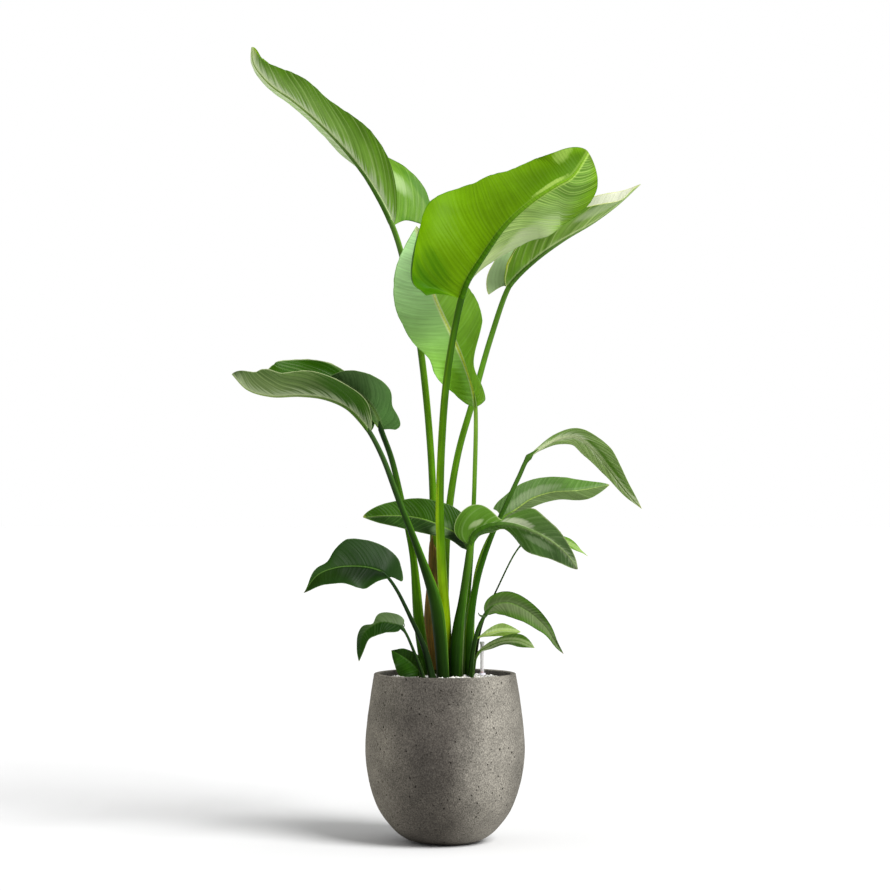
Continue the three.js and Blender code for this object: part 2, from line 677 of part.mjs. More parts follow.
place('pot', pot(), 0xb9b4ab, 0.95);
const stalkHoles = Object.values(LEAVES).map((leaf) => stalk(leaf, GAP));
place('granules', cutBy(filling(), [...stalkHoles, gaugeHole, collarSeat]), 0xd8d4c8, 0.95);
place('gauge_tube', pin([
	[GAUGE_TUBE.inner, GAUGE_TUBE.bottom], [GAUGE_TUBE.outer, GAUGE_TUBE.bottom],
	[GAUGE_TUBE.outer, GAUGE_TUBE.top], [GAUGE_TUBE.inner, GAUGE_TUBE.top],
	[GAUGE_TUBE.inner, GAUGE_TUBE.bottom],
], 16), 0xe8ebea, 0.15, { transparent: true, opacity: 0.5 });
place('gauge_collar', pin([
	[GAUGE_TUBE.outer + GAP, GAUGE_COLLAR.bottom], [GAUGE_COLLAR.foot, GAUGE_COLLAR.bottom],
	[GAUGE_COLLAR.foot, GAUGE_COLLAR.edge], [GAUGE_COLLAR.neck, GAUGE_COLLAR.top],
	[GAUGE_TUBE.outer + GAP, GAUGE_COLLAR.top], [GAUGE_TUBE.outer + GAP, GAUGE_COLLAR.bottom],
], 20), 0xd9d6e6, 0.5);
place('gauge_cap', pin([
	[0, GAUGE_TUBE.top - GAUGE_CAP.depth], [GAUGE_CAP.plug, GAUGE_TUBE.top - GAUGE_CAP.depth],
	[GAUGE_CAP.plug, GAUGE_TUBE.top + GAP], [GAUGE_CAP.radius, GAUGE_TUBE.top + GAP],
	[GAUGE_CAP.radius, GAUGE_CAP.top], [0, GAUGE_CAP.top],
], 16), 0xf0f0ee, 0.4);
place('gauge_float', pin([
	[0, GAUGE_FLOAT.bottom], [GAUGE_FLOAT.radius, GAUGE_FLOAT.bottom],
	[GAUGE_FLOAT.radius, GAUGE_FLOAT.top], [0, GAUGE_FLOAT.top],
], 12), 0xc8261f, 0.5);

export default part;
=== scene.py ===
"""Dresses the potted bird of paradise: fine blades and stalks, loose granules, a concrete pot, the gauge."""
import math

import bmesh
import bpy
import numpy as np
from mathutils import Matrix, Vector, noise


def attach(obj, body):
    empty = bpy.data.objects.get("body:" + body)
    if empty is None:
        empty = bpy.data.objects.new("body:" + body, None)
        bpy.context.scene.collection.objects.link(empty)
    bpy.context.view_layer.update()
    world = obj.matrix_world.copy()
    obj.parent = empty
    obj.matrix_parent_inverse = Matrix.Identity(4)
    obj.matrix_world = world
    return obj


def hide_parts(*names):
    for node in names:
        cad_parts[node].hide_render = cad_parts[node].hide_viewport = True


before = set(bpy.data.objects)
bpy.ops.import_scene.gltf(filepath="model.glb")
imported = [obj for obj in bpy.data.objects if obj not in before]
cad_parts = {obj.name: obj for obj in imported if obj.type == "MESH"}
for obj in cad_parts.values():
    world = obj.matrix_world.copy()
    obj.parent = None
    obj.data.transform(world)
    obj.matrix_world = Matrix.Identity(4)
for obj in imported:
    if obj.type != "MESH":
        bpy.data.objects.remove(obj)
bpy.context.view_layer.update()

MM = 0.001
SEED = 7

# One half of a blade, unless the leaf says otherwise. wide: half width in mm. widest: where, as a share of
# the length. full and round: how the base rounds out. long and point: how the tip draws in. lobe: how far
# the base runs back. sweep: how far the half leans to the tip. fold, curl, hook: how the half stands up
# from the rib, bends all over and rolls at its margin, in degrees from base to tip. wave: ripple in mm.
HALF = dict(
    widest=0.35, full=2.5, round=0.55, long=1.8, point=1, lobe=0, sweep=0.1, neck=0, fold=[10], curl=[0],
    hook=[0], wave=2,
)

# Leaves, in millimetres: the stalk's and the rib's points, the stalk's thickness from the granules up to the
# blade, the way that the blade's upper side faces at its base, and its two halves. waves: ripples along a
# margin, two unless given. phase: where they start, in turns. pinch: where a half with a neck narrows.
LEAVES = {
    "top_left": dict(
        stalk=[(-20, 34, 328), (-30, 46, 453), (-24, 60, 590), (-29, 80, 804), (-55, 94, 1063),
            (-89, 94, 1232), (-113, 90, 1309)],
        rib=[(-154, 82, 1389), (-198, 74, 1452), (-258, 58, 1516), (-321, 42, 1569), (-374, 24, 1605),
            (-406, 8, 1645), (-410, 2, 1680)],
        thick=[22, 21, 19, 17, 16.5, 16, 16, 15.5, 15, 14, 13], face=(1, 0.1, 0.5), waves=2.6, phase=0.4,
        large=True,
        left=dict(wide=82, full=2, round=0.8, long=2.2, point=0.7, fold=[60, 55, 39, 30, 34, 36, 26],
            curl=[10, 10, 10, 10, 10, 0], wave=3.5),
        right=dict(wide=133, widest=0.15, full=1.9, round=0.7, long=2.6, point=0.5, lobe=0.13,
            fold=[50, 36, -18, -30, -28, -28, -20], curl=[30, 30, 70, 110, 110, 120, 110], wave=4),
    ),
    "lime": dict(
        stalk=[(1, -6, 331), (1, -18, 450), (-7, -36, 582), (-11, -50, 718), (-1, -64, 927), (14, -70, 1042),
            (34, -72, 1138)],
        rib=[(46, -85, 1172), (76, -96, 1219), (124, -105, 1286), (176, -95, 1335), (232, -62, 1376),
            (268, -34, 1400), (304, 6, 1457)],
        thick=[26, 25, 22, 20, 18.5, 17, 16, 15.5, 15, 14, 14], face=(-0.2, 0.9, 0.3), waves=3, large=True,
        left=dict(wide=108, widest=0.5, round=0.65, long=3, point=0.5, fold=[58, 40, 25, 20, 5],
            curl=[20, 10, 10, 0], wave=4),
        right=dict(wide=165, widest=0.17, full=2, long=1.35, point=0.65, lobe=0.09,
            fold=[0, 22, 48, 54, 50, 30, -10], curl=[10, 10, 15, 10], hook=[-190, -120, 0, 0, 0, 0, 0],
            wave=1),
    ),
    "upright": dict(
        stalk=[(35, 32, 328), (46, 38, 481), (57, 45, 623), (63, 44, 761), (65, 40, 917)],
        rib=[(60, 36, 953), (44, 32, 1004), (16, 28, 1067), (-20, 30, 1146), (-45, 38, 1226),
            (-61, 52, 1305)],
        thick=[16, 14, 11, 10, 9.5, 9.5, 9], face=(-0.2, -1, 0.1), waves=3, large=True,
        left=dict(wide=88, widest=0.5, full=3.8, round=0.6, lobe=-0.03, neck=0.22, fold=[20, 15, 10],
            curl=[20, 10, 0], wave=4),
        right=dict(wide=91, lobe=0.03, fold=[45, 70, 24, 20, 24, 24, 20], wave=4),
    ),
    "upper_right": dict(
        stalk=[(1, 46, 327), (-1, 51, 505), (6, 62, 676), (27, 72, 815), (60, 82, 933), (98, 88, 1067),
            (136, 90, 1175)],
        rib=[(153, 98, 1198), (198, 108, 1240), (259, 118, 1284), (323, 126, 1322), (375, 132, 1360),
            (426, 138, 1406)],
        thick=[20, 19, 18, 17, 16, 15, 14, 13, 12], face=(-0.75, 0, 0.66), waves=3, large=True,
        left=dict(wide=86, widest=0.3, full=1.7, round=0.75, long=1.6, lobe=0.16, fold=[60, 60, 60, 50],
            curl=[20, 20, 10], wave=4),
        right=dict(wide=82, long=1.4, fold=[60, 50, 8, 0], curl=[20, 20, 10, 0], hook=[-150, -60, 0, 0],
            wave=4),
    ),
    "left": dict(
        stalk=[(-1, -44, 334), (-9, -46, 436), (-20, -48, 510), (-53, -51, 608), (-97, -54, 721),
            (-130, -58, 808), (-157, -60, 860)],
        rib=[(-176, -64, 885), (-205, -76, 912), (-250, -92, 930), (-301, -104, 935), (-358, -114, 933),
            (-407, -120, 946), (-440, -122, 978)],
        thick=[30, 31, 31, 28, 20, 15, 14, 13, 12, 11], face=(0.4, 0, 1), pinch=0.76, waves=3, large=True,
        left=dict(wide=80, widest=0.6, round=0.7, long=2.6, point=0.6, fold=[42, 42, 44, 44],
            curl=[10, 10, 10], wave=4),
        right=dict(wide=82, widest=0.42, full=1.8, long=2.6, point=0.6, neck=0.3, fold=[60, 55, 50, 40],
            curl=[20, 10, 0], wave=4),
    ),
    "left_back": dict(
        stalk=[(-36, 2, 331), (-54, 6, 455), (-68, 15, 602), (-91, 25, 712), (-113, 2, 806),
            (-134, -44, 866)],
        rib=[(-141, -64, 892), (-160, -77, 922), (-190, -82, 946), (-218, -87, 963), (-246, -90, 972)],
        thick=[23, 23, 23, 22, 17, 14, 13, 13, 12.5, 12, 12], face=(-0.2, -1, 0.1), pinch=0.22,
        left=dict(wide=16, widest=0.4, fold=[0], curl=[10, 10, 0], wave=3),
        right=dict(wide=63, widest=0.42, full=3, long=1.7, lobe=0.08, neck=0.3, fold=[0, 0, 10, 10],
            curl=[30, 20, 10, 0], wave=3),
    ),
    "middle_left": dict(
        stalk=[(35, 2, 331), (40, -2, 497), (43, -5, 571), (48, -6, 613)],
        rib=[(29, -4, 643), (-3, 0, 662), (-53, 2, 680), (-116, -4, 686), (-173, -10, 682)],
        thick=[10, 8.5, 7, 6, 6], face=(0.3, -0.75, 0.66),
        left=dict(wide=43, widest=0.55, full=2, long=1.4, lobe=0.03, fold=[15]),
        right=dict(wide=51, widest=0.25, full=1.6, long=1.1, point=0.6, fold=[15]),
    ),
    "low_left": dict(
        stalk=[(-24, -60, 335), (-42, -64, 408), (-71, -74, 473), (-100, -88, 532), (-117, -95, 557)],
        rib=[(-128, -99, 569), (-152, -101, 578), (-187, -106, 582), (-225, -114, 579), (-262, -124, 564),
            (-290, -134, 528)],
        thick=[16, 13.5, 11, 8.5, 7.5, 6.5], face=(0.3, -0.8, 0.6), pinch=0.69, phase=0.1,
        left=dict(wide=52, full=1.7, round=0.85, long=1.6, point=0.8, sweep=-0.08, fold=[10, 0, 10], wave=5),
        right=dict(wide=60, widest=0.5, full=3.2, round=0.95, long=1.1, point=1.8, lobe=0.17, sweep=-0.08,
            neck=0.4, fold=[12, 10, 10]),
    ),
    "lowest_left": dict(
        stalk=[(-40, -76, 337), (-63, -82, 401), (-89, -95, 454)],
        rib=[(-108, -98, 463), (-131, -101, 466), (-153, -105, 456), (-170, -110, 438), (-177, -118, 386)],
        thick=[9, 7, 6, 5.5], face=(0.3, -0.5, 0.85), pinch=0.45,
        left=dict(wide=27, widest=0.3, lobe=0.02, sweep=-0.03, fold=[-10, -20, 0], wave=1.5),
        right=dict(wide=25, widest=0.2, long=1.5, point=0.8, lobe=0.02, sweep=-0.03, neck=0.8,
            fold=[30, 20, 0, 0], wave=1.5),
    ),
    "rim_left": dict(
        stalk=[(-52, -42, 331), (-51, -43, 351)],
        rib=[(-66, -46, 374), (-90, -50, 393), (-112, -54, 405)],
        thick=[10, 8], face=(0.2, -0.9, 0.3),
        left=dict(wide=36, full=1.5, fold=[0], wave=3),
        right=dict(wide=22, full=1.5, fold=[20], wave=3),
    ),
    "right": dict(
        stalk=[(22, -24, 333), (27, -28, 438), (37, -33, 509), (46, -38, 572), (54, -44, 624)],
        rib=[(62, -47, 647), (79, -51, 659), (106, -57, 667), (143, -64, 666), (182, -74, 654),
            (224, -84, 631), (252, -90, 607), (275, -94, 575)],
        thick=[29, 29, 28, 27, 20, 16.5, 16, 15, 14], face=(0.1, 1, 0.35), waves=3, large=True,
        left=dict(wide=48, widest=0.4, full=2, point=0.75, neck=0.7, fold=[60, 50, 30, 0, 0, 0, 0], wave=3),
        right=dict(wide=66, widest=0.15, full=2, long=0.9, point=0.85, neck=0.75,
            fold=[0, 30, 32, 0, 0, 0, 0], curl=[20, 40, 30, 0, 0, 0], wave=3),
    ),
    "right_back": dict(
        stalk=[(57, 28, 329), (58, 32, 464), (67, 35, 566), (91, 39, 633), (122, 42, 679)],
        rib=[(151, 47, 698), (185, 55, 721), (230, 66, 735), (287, 80, 739), (354, 94, 751)],
        thick=[13, 12, 10.5, 9, 8, 7.5, 7], face=(0, -0.75, 0.66),
        left=dict(wide=40, widest=0.3, full=4, long=1.2, point=0.75, lobe=0.07, fold=[20]),
        right=dict(wide=38, widest=0.55, full=1.2, long=2.5, lobe=0.02, fold=[20]),
    ),
    "arching_right": dict(
        stalk=[(46, 16, 330), (52, 12, 454), (67, 12, 545), (97, 10, 638), (126, 8, 702), (156, 3, 767),
            (177, 0, 809)],
        rib=[(204, 0, 830), (238, 0, 848), (278, -2, 852), (312, -6, 826), (347, -10, 782), (381, -14, 737),
            (414, -18, 700)],
        thick=[18, 18, 18, 17, 13, 11.5, 10.5, 10, 9.5, 9], face=(-0.2, 0.6, 0.8),
        left=dict(wide=42, widest=0.37, full=1.3, round=1, long=1.3, wave=1.5),
        right=dict(wide=37, widest=0.5, full=1.2, round=1, long=1.3, wave=1.5),
    ),
    "low_right_back": dict(
        stalk=[(58, 50, 327), (66, 52, 390), (79, 56, 454), (117, 59, 541), (151, 62, 607), (167, 62, 625)],
        rib=[(207, 70, 633), (259, 82, 628), (307, 94, 598)],
        thick=[7, 6, 5, 4, 3.5, 3.5, 3.5], face=(0, -0.7, 0.7),
        left=dict(wide=15),
        right=dict(wide=15),
    ),
    "low_right": dict(
        stalk=[(52, -40, 334), (59, -46, 405), (70, -54, 452), (85, -65, 481)],
        rib=[(101, -69, 499), (131, -76, 505), (171, -87, 488), (206, -99, 457), (228, -110, 424),
            (244, -120, 402)],
        thick=[12, 10, 9, 8, 6.5], face=(0.1, -0.75, 0.65), waves=2.5,
        left=dict(wide=24, widest=0.2, full=2, long=1.1, wave=2.5),
        right=dict(wide=30, widest=0.3, long=1.5, fold=[10, 10, 15, 35, 46, 46, 40], wave=2.5),
    ),
    "small_back": dict(
        stalk=[(54, -12, 332), (58, -6, 403), (63, 3, 423), (71, 8, 428)],
        rib=[(90, 12, 435), (120, 24, 442), (161, 42, 438)],
        thick=[8, 6, 5, 4, 4], face=(0, -0.7, 0.7), waves=1,
        left=dict(wide=19, widest=0.55, full=1.3, round=0.8),
        right=dict(wide=19, widest=0.55, full=1.3, round=0.8),
    ),
    "small_front": dict(
        stalk=[(56, -23, 333), (60, -24, 366), (70, -26, 398)],
        rib=[(87, -30, 409), (121, -38, 423), (154, -46, 424), (187, -54, 410)],
        thick=[8, 6, 5, 5], face=(0, -0.6, 0.8),
        left=dict(wide=15, widest=0.65, full=1.2),
        right=dict(wide=14, widest=0.65, full=1.2),
    ),
}

# Distances in millimetres and places as shares of a blade, as in the solids
GAP = 0.35
BLADE_THICK = 1.1
LOBE_AT = 0.07
LOBE_FROM = 0.05
PINCH_AT = 0.25
PINCH_LENGTH = 0.08

# Where the blades end, and the steps that follow a leaf's line, a blade's rib and a fold
BLADE_END = 0.9985
LINE_STEPS = 320
STATIONS = 240
FOLD_STEPS = 24

# Rows along a blade and columns across a half of it, for large and for small leaves
LARGE_GRID = (150, 20)
SMALL_GRID = (90, 13)


def curve(points, u):
    """Places and headings on a centripetal Catmull-Rom curve, at u from 0 to 1 over its spans."""
    p = np.array(points, float)
    p = np.vstack([2 * p[0] - p[1], p, 2 * p[-1] - p[-2]])
    spans = len(p) - 3
    k = np.clip(np.asarray(u) * spans, 0, spans - 1e-9)
    i = k.astype(int)
    w = (k - i)[:, None]
    a, b, c, d = p[i], p[i + 1], p[i + 2], p[i + 3]
    ab, bc, cd = (np.linalg.norm(y - x, axis=1, keepdims=True) ** 0.5 for x, y in ((a, b), (b, c), (c, d)))
    start = ((b - a) / ab - (c - a) / (ab + bc) + (c - b) / bc) * bc
    end = ((c - b) / bc - (d - b) / (bc + cd) + (d - c) / cd) * bc
    square = 3 * (c - b) - 2 * start - end
    cube = 2 * (b - c) + start + end
    return b + start * w + square * w**2 + cube * w**3, start + 2 * square * w + 3 * cube * w**2


def unit(v):
    return v / np.linalg.norm(v, axis=-1, keepdims=True)


def travel(leaf, start, end, count):
    """Points, headings and an untwisted face direction at even distances on a stretch of a leaf's line."""
    fine = np.linspace(start, end, LINE_STEPS + 1)
    line, _ = curve(leaf["stalk"] + leaf["rib"], fine)
    length = np.concatenate([[0], np.cumsum(np.linalg.norm(np.diff(line, axis=0), axis=1))])
    u = np.interp(np.linspace(0, length[-1], count + 1), length, fine)
    point, heading = curve(leaf["stalk"] + leaf["rib"], u)
    along = unit(heading)
    up = np.zeros_like(along)
    face = np.array(leaf["face"], float)
    for k, direction in enumerate(along):
        face = unit(face - direction * (face @ direction))
        up[k] = face
    return {"point": point, "along": along, "up": up, "right": np.cross(along, up), "length": length[-1]}


def joint_of(leaf):
    """The joint's place on the leaf's line, as a share of its spans."""
    return (len(leaf["stalk"]) - 1) / (len(leaf["stalk"]) + len(leaf["rib"]) - 1)


def thickness(leaf, share):
    """The stalk's thickness in mm at shares of its length."""
    return np.interp(share, np.linspace(0, 1, len(leaf["thick"])), leaf["thick"])


def half_of(leaf, side):
    """The left or the right half of a blade, with what it leaves unsaid filled in."""
    return {**HALF, **leaf["left" if side < 0 else "right"]}


def eased(values, s):
    """A list of values at even steps, read at s from 0 to 1 along a smooth curve through them."""
    v = np.array(values, float)
    k = np.clip(s, 0, 1) * (len(v) - 1)
    i = np.minimum(k.astype(int), max(len(v) - 2, 0))
    w = k - i
    a, b, c, d = (v[np.clip(i + j, 0, len(v) - 1)] for j in (-1, 0, 1, 2))
    return b + 0.5 * w * (c - a + w * (2 * a - 5 * b + 4 * c - d + w * (3 * (b - c) + d - a)))


def half_width(leaf, half, s):
    """Half width in mm at s from base to tip: rounded up to the widest place, then drawn to the tip."""
    low = np.maximum(1 - s / half["widest"], 0) ** half["full"]
    high = np.maximum((s - half["widest"]) / (1 - half["widest"]), 0) ** half["long"]
    neck = 1 - half["neck"] * np.exp(-(((s - leaf.get("pinch", PINCH_AT)) / PINCH_LENGTH) ** 2))
    drawn = np.maximum(1 - low, 0) ** half["round"] * np.maximum(1 - high, 0) ** half["point"]
    return half["wide"] * neck * drawn


def wander(x, seed):
    """A smooth line that wanders between about -1 and 1, turning every few units of x."""
    rng = np.random.default_rng(seed)
    total = np.zeros_like(x)
    for k in range(6):
        total = total + 0.75**k * np.sin(0.6 * 1.55**k * x + rng.uniform(0, 2 * np.pi))
    return total / 2.2


def blade_points(leaf, path, s, side, d, seed, lean):
    """A half blade's middle surface at s along the rib and d out from it, and its vein coordinate."""
    half = half_of(leaf, side)
    width = half_width(leaf, half, s)
    back = half["lobe"] * (s / LOBE_AT) * np.exp(1 - s / LOBE_AT) * np.minimum(1, s / LOBE_FROM)
    x = s + (half["sweep"] * 4 * s * (1 - s) * (1 - 0.5 * s) - back) * d**1.4
    fold, curl, hook = (np.radians(eased(half[key], s)) for key in ("fold", "curl", "hook"))
    across = 0
    rise = 0
    for k in range(FOLD_STEPS):
        e = d * (k + 0.5) / FOLD_STEPS
        turn = fold + curl * e + hook * e**4
        across = across + width * d / FOLD_STEPS * np.cos(turn)
        rise = rise + width * d / FOLD_STEPS * np.sin(turn)
    turn = fold + curl * d + hook * d**4
    place = (leaf.get("waves", 2) * s + leaf.get("phase", 0) + (0.35 if side > 0 else 0)) * 2 * np.pi
    wave = half["wave"] * d * d * np.minimum(1, 6 * s * (1 - s) + 0.2) * np.sin(place)
    vein = x * path["length"] - lean * width * d * (0.6 + 0.4 * d)
    wave = wave + pleats(vein, d, seed) * np.minimum(1, width / 60)
    k = np.clip(x, 0, 1) * STATIONS
    i = np.minimum(k.astype(int), STATIONS - 1)
    w = (k - i)[..., None]
    point, along, right, up = (
        path[key][i] * (1 - w) + path[key][i + 1] * w for key in ("point", "along", "right", "up")
    )
    over = ((x - np.clip(x, 0, 1)) * path["length"])[..., None]
    out = (side * (across - np.sin(turn) * wave))[..., None]
    high = (rise + np.cos(turn) * wave)[..., None]
    return point + unit(along) * over + unit(right) * out + unit(up) * high, vein


def pleats(vein, d, seed):
    """Height in mm of the soft corrugation that follows the veins, strongest halfway out."""
    wide = 0.55 * wander(vein / 9, seed)
    fine = 0.22 * wander(vein / 3.2, seed + 1)
    return (wide + fine) * np.sin(np.pi * np.clip(d, 0, 1)) ** 0.7


def triples(x, y, z):
    """Three coordinates, spread over one grid, as a list of points or vectors."""
    return np.stack(np.broadcast_arrays(x, y, z), -1).reshape(-1, 3)


def grid_faces(rows, columns, start=0, around=False):
    """Quads between the rows of a grid of points, closed into a tube with around."""
    i, j = np.meshgrid(np.arange(rows - 1), np.arange(columns if around else columns - 1), indexing="ij")
    a = start + i * columns + j
    b = start + i * columns + (j + 1) % columns
    return np.stack([a, b, b + columns, a + columns], -1).reshape(-1, 4).tolist()


def tube_faces(rows, sides):
    """Quads round a tube and the two faces that close its ends."""
    return grid_faces(rows, sides, around=True) + [
        list(range(sides)), list(range((rows - 1) * sides, rows * sides))
    ]


def sheet_faces(rows, columns):
    """Quads of a sheet with an upper and a lower grid of points, closed all round its rim."""
    under = rows * columns
    rim = list(range(columns)) + [i * columns + columns - 1 for i in range(1, rows)]
    rim += [(rows - 1) * columns + j for j in range(columns - 2, -1, -1)]
    rim += [i * columns for i in range(rows - 2, 0, -1)]
    sides = [[a, b, under + b, under + a] for a, b in zip(rim, rim[1:] + rim[:1])]
    return grid_faces(rows, columns) + grid_faces(rows, columns, under) + sides


def link(name, data):
    """An object made from its data and put in the scene."""
    obj = bpy.data.objects.new(name, data)
    bpy.context.scene.collection.objects.link(obj)
    return obj


def piece(name, points, faces, material, slot, *nodes, attributes=None, sharp=None):
    """A mesh object in millimetres that rides on the body and stands for the given solids."""
    mesh = bpy.data.meshes.new(name)
    mesh.from_pydata((np.asarray(points) * MM).tolist(), [], [list(face) for face in faces])
    for key, values in (attributes or {}).items():
        data = mesh.attributes.new(key, "FLOAT_VECTOR", "POINT")
        data.data.foreach_set("vector", np.asarray(values, np.float32).ravel())
    mesh.validate()
    shell = bmesh.new()
    shell.from_mesh(mesh)
    bmesh.ops.recalc_face_normals(shell, faces=shell.faces)
    shell.to_mesh(mesh)
    shell.free()
    mesh.shade_smooth()
    if sharp:
        mesh.set_sharp_from_angle(angle=math.radians(sharp))
    mesh.materials.append(material)
    obj = link(name, mesh)
    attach(obj, "root")
    if nodes:
        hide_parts(*nodes)


def blade(name, leaf, seed):
    """A blade with a thickness, a rounded rib underneath, a groove above it, pleats and an uneven margin."""
    look = {**LOOK, **LOOKS[name]}
    path = travel(leaf, joint_of(leaf), 1, STATIONS)
    rows, columns = LARGE_GRID if leaf.get("large") else SMALL_GRID
    t = np.linspace(0, 1, rows)
    start = 1.3 * GAP / path["length"]
    s = start + (BLADE_END - start) * (0.6 * t + 0.2 - 0.2 * np.cos(np.pi * t))
    neck = leaf["thick"][-1] / 2
    rib = neck * 0.8 * (1 - s) ** 0.8 + 0.8
    depth = neck * (1 - s) ** 0.8
    halves = []
    for side, lean in zip((-1, 1), look["lean"]):
        width = half_width(leaf, half_of(leaf, side), s)
        near = np.minimum(rib / width, 0.25)
        last = 1 - np.minimum(1.5 / width, 0.05)
        between = [near + (last - near) * share for share in np.linspace(0, 1, columns)[1:-1]]
        d = np.stack([near * 0.4, near * 0.75, near, *between, last, last * 0 + 1], 1)
        rough = 0.012 * wander(s * path["length"] / 16, seed + 5 * side)
        rough = rough + 0.006 * wander(s * path["length"] / 4, seed + 9)
        d = d * (1 + rough[:, None] * d**4)
        points, vein = blade_points(leaf, path, s[:, None], side, d, seed + 20 * side, lean)
        lateral = d * width[:, None]
        halves.append({
            "points": points, "vein": vein, "lateral": side * lateral, "d": d,
            "rib": np.clip(1 - (d / near[:, None]) ** 2, 0, 1),
            "edge": np.maximum(width[:, None] - lateral, 0),
        })
    middle, vein = blade_points(leaf, path, s[:, None], 1, s[:, None] * 0, seed, 0)
    centre = {
        "points": middle, "vein": vein, "lateral": vein * 0, "d": vein * 0, "rib": vein * 0 + 1,
        "edge": vein * 0 + 20,
    }
    grid = {key: np.concatenate([halves[0][key][:, ::-1], centre[key], halves[1][key]], 1) for key in centre}
    points = grid["points"]
    normal = np.cross(np.gradient(points, axis=1), np.gradient(points, axis=0))
    normal[0] -= path["along"][0] * (normal[0] @ path["along"][0])[:, None]
    normal = unit(normal)
    thick = BLADE_THICK / 2 - 0.2 * np.abs(grid["d"])
    bulge = depth[:, None] * np.sqrt(grid["rib"])
    groove = 0.3 * depth[:, None] * grid["rib"] ** 2
    above = points + normal * (thick - groove)[..., None]
    below = points - normal * (thick + bulge)[..., None]
    lay = triples(grid["vein"] * MM, grid["lateral"] * MM, s[:, None])
    marks = [triples(grid["rib"], grid["edge"] * MM, flag) for flag in (0, 1)]
    piece(f"leaf_{name}", np.stack([above, below]).reshape(-1, 3), sheet_faces(rows, points.shape[1]),
          leaf_paint(f"leaf_{name}", look, seed), BLADE_SLOTS.get(name, "green_leaf"), f"blade_{name}",
          attributes={"lay": np.tile(lay, (2, 1)), "mark": np.concatenate(marks)}, sharp=55)


def stalk_tube(kind, name, look, seed, centre, ways, turn, size, length, part):
    """A tube of rings of the given size round a centre line, with the places that a stalk's skin needs."""
    across, upward = size * np.cos(turn), size * np.sin(turn)
    vertices = centre[:, None] + ways[0][:, None] * across[..., None] + ways[1][:, None] * upward[..., None]
    skin = stem_paint(f"{kind}_{name}", look, seed)
    piece(f"{kind}_{name}", vertices.reshape(-1, 3), tube_faces(*size.shape), skin,
          STALK_SLOTS.get(name, "deep_stalk"), f"stalk_{name}",
          attributes={"lay": triples(across, upward, length) * MM, "mark": triples(part + size * 0, 0, 0)})


# How much thicker some stalks are at the joint, and how far that reaches along them in mm
KNUCKLES = dict(arching_right=0.55, low_right_back=0.9, lowest_left=0.6, low_right=0.4, small_front=0.5)
KNUCKLE_LENGTH = 7

STALK_SIDES = 28
RING_STEP = 6

# Distances in mm beyond the joint at which a stalk's end runs out into the rib of a long blade
RUN_OUT = (3, 7, 12, 18, 25, 32)


def stem(name, leaf, seed):
    """A stalk: grooved on its upper side, winged where it clasps the clump, running out into the rib."""
    rings = max(int(travel(leaf, 0, joint_of(leaf), 10)["length"] / RING_STEP), 4)
    path = travel(leaf, 0, joint_of(leaf), rings)
    share = np.linspace(0, 1, rings + 1)
    thick = thickness(leaf, share)
    soft = np.convolve(np.pad(thick, 6, mode="edge"), np.ones(13) / 13, "valid") if rings > 20 else thick
    radius = soft / 2
    onward = travel(leaf, joint_of(leaf), 1, STATIONS)
    steps = np.array(RUN_OUT) * min(1, onward["length"] / 250)
    stops = (steps / onward["length"] * STATIONS).round().astype(int)
    fade = np.clip(1 - steps / (steps[-1] + 3), 0, 1) ** 0.6
    point, up, right = (np.concatenate([path[key], onward[key][stops]]) for key in ("point", "up", "right"))
    sink = np.concatenate([share * 0, radius[rings] * 0.55 * (1 - fade)])
    radius = np.concatenate([radius, radius[-1] * fade])
    length = np.concatenate([share * path["length"], path["length"] + steps])[:, None]
    turn = np.linspace(0, 2 * np.pi, STALK_SIDES, endpoint=False)[None, :]
    off = np.angle(np.exp(1j * (turn - np.pi / 2)))
    clasp = np.clip(1 - length / (0.3 * path["length"] + 1), 0, 1)
    groove = (0.14 + 0.22 * clasp) * np.exp(-((off / (0.42 + 0.2 * clasp)) ** 2))
    wing = 0.1 * clasp * np.exp(-(((np.abs(off) - 0.95) / 0.22) ** 2))
    ridges = 0.012 * np.sin(11 * turn + seed) + 0.008 * np.sin(17 * turn + 2 * seed)
    knuckle = KNUCKLES.get(name, 0.0) * np.exp(-(((length - path["length"]) / KNUCKLE_LENGTH) ** 2))
    size = radius[:, None] * (1 - groove + wing + ridges + 0.02 * wander(length / 45, seed) + knuckle)
    centre = point - up * sink[:, None]
    part = length / path["length"]
    stalk_tube("stem", name, STEM_LOOKS[name], seed, centre, (right, up), turn, size, length, part)


# The hooked ends of old leaf bases beside a joint: radius and points in mm from the stalk out to the tip
STUBS = {
    "low_right": (3.0, [(84, -65, 477), (78, -67, 477), (72, -68, 479), (69, -68, 484)]),
    "lowest_left": (2.2, [(-91, -95, 453), (-87, -98, 455), (-84, -99, 459), (-85, -99, 464)]),
}
STUB_RINGS = 12
STUB_SIDES = 12


def stub(name, thick, points):
    """A short dry hook beside a joint: a round tapering tube along its points."""
    share = np.linspace(0, 1, STUB_RINGS)
    line, _ = curve(points, share)
    ahead = unit(np.gradient(line, axis=0))
    aside = unit(np.cross(ahead, [0.0, 1.0, 0.0]))
    share = share[:, None]
    turn = np.linspace(0, 2 * np.pi, STUB_SIDES, endpoint=False)[None, :]
    size = thick * (1 - 0.75 * share) * (1 + 0.12 * np.sin(3 * turn + 4 * share))
    ways = (aside, np.cross(aside, ahead))
    stalk_tube("stub", name, STUB_LOOK, 5, line, ways, turn, size, 20 * share, 0.9 + 0.1 * share)


def tone(r, g, b):
    """A colour of the photograph's scale, 0 to 255, in the linear values that shaders take."""
    light = (((c / 255 + 0.055) / 1.055) ** 2.4 if c > 10 else c / 255 / 12.92 for c in (r, g, b))
    return (*light, 1.0)


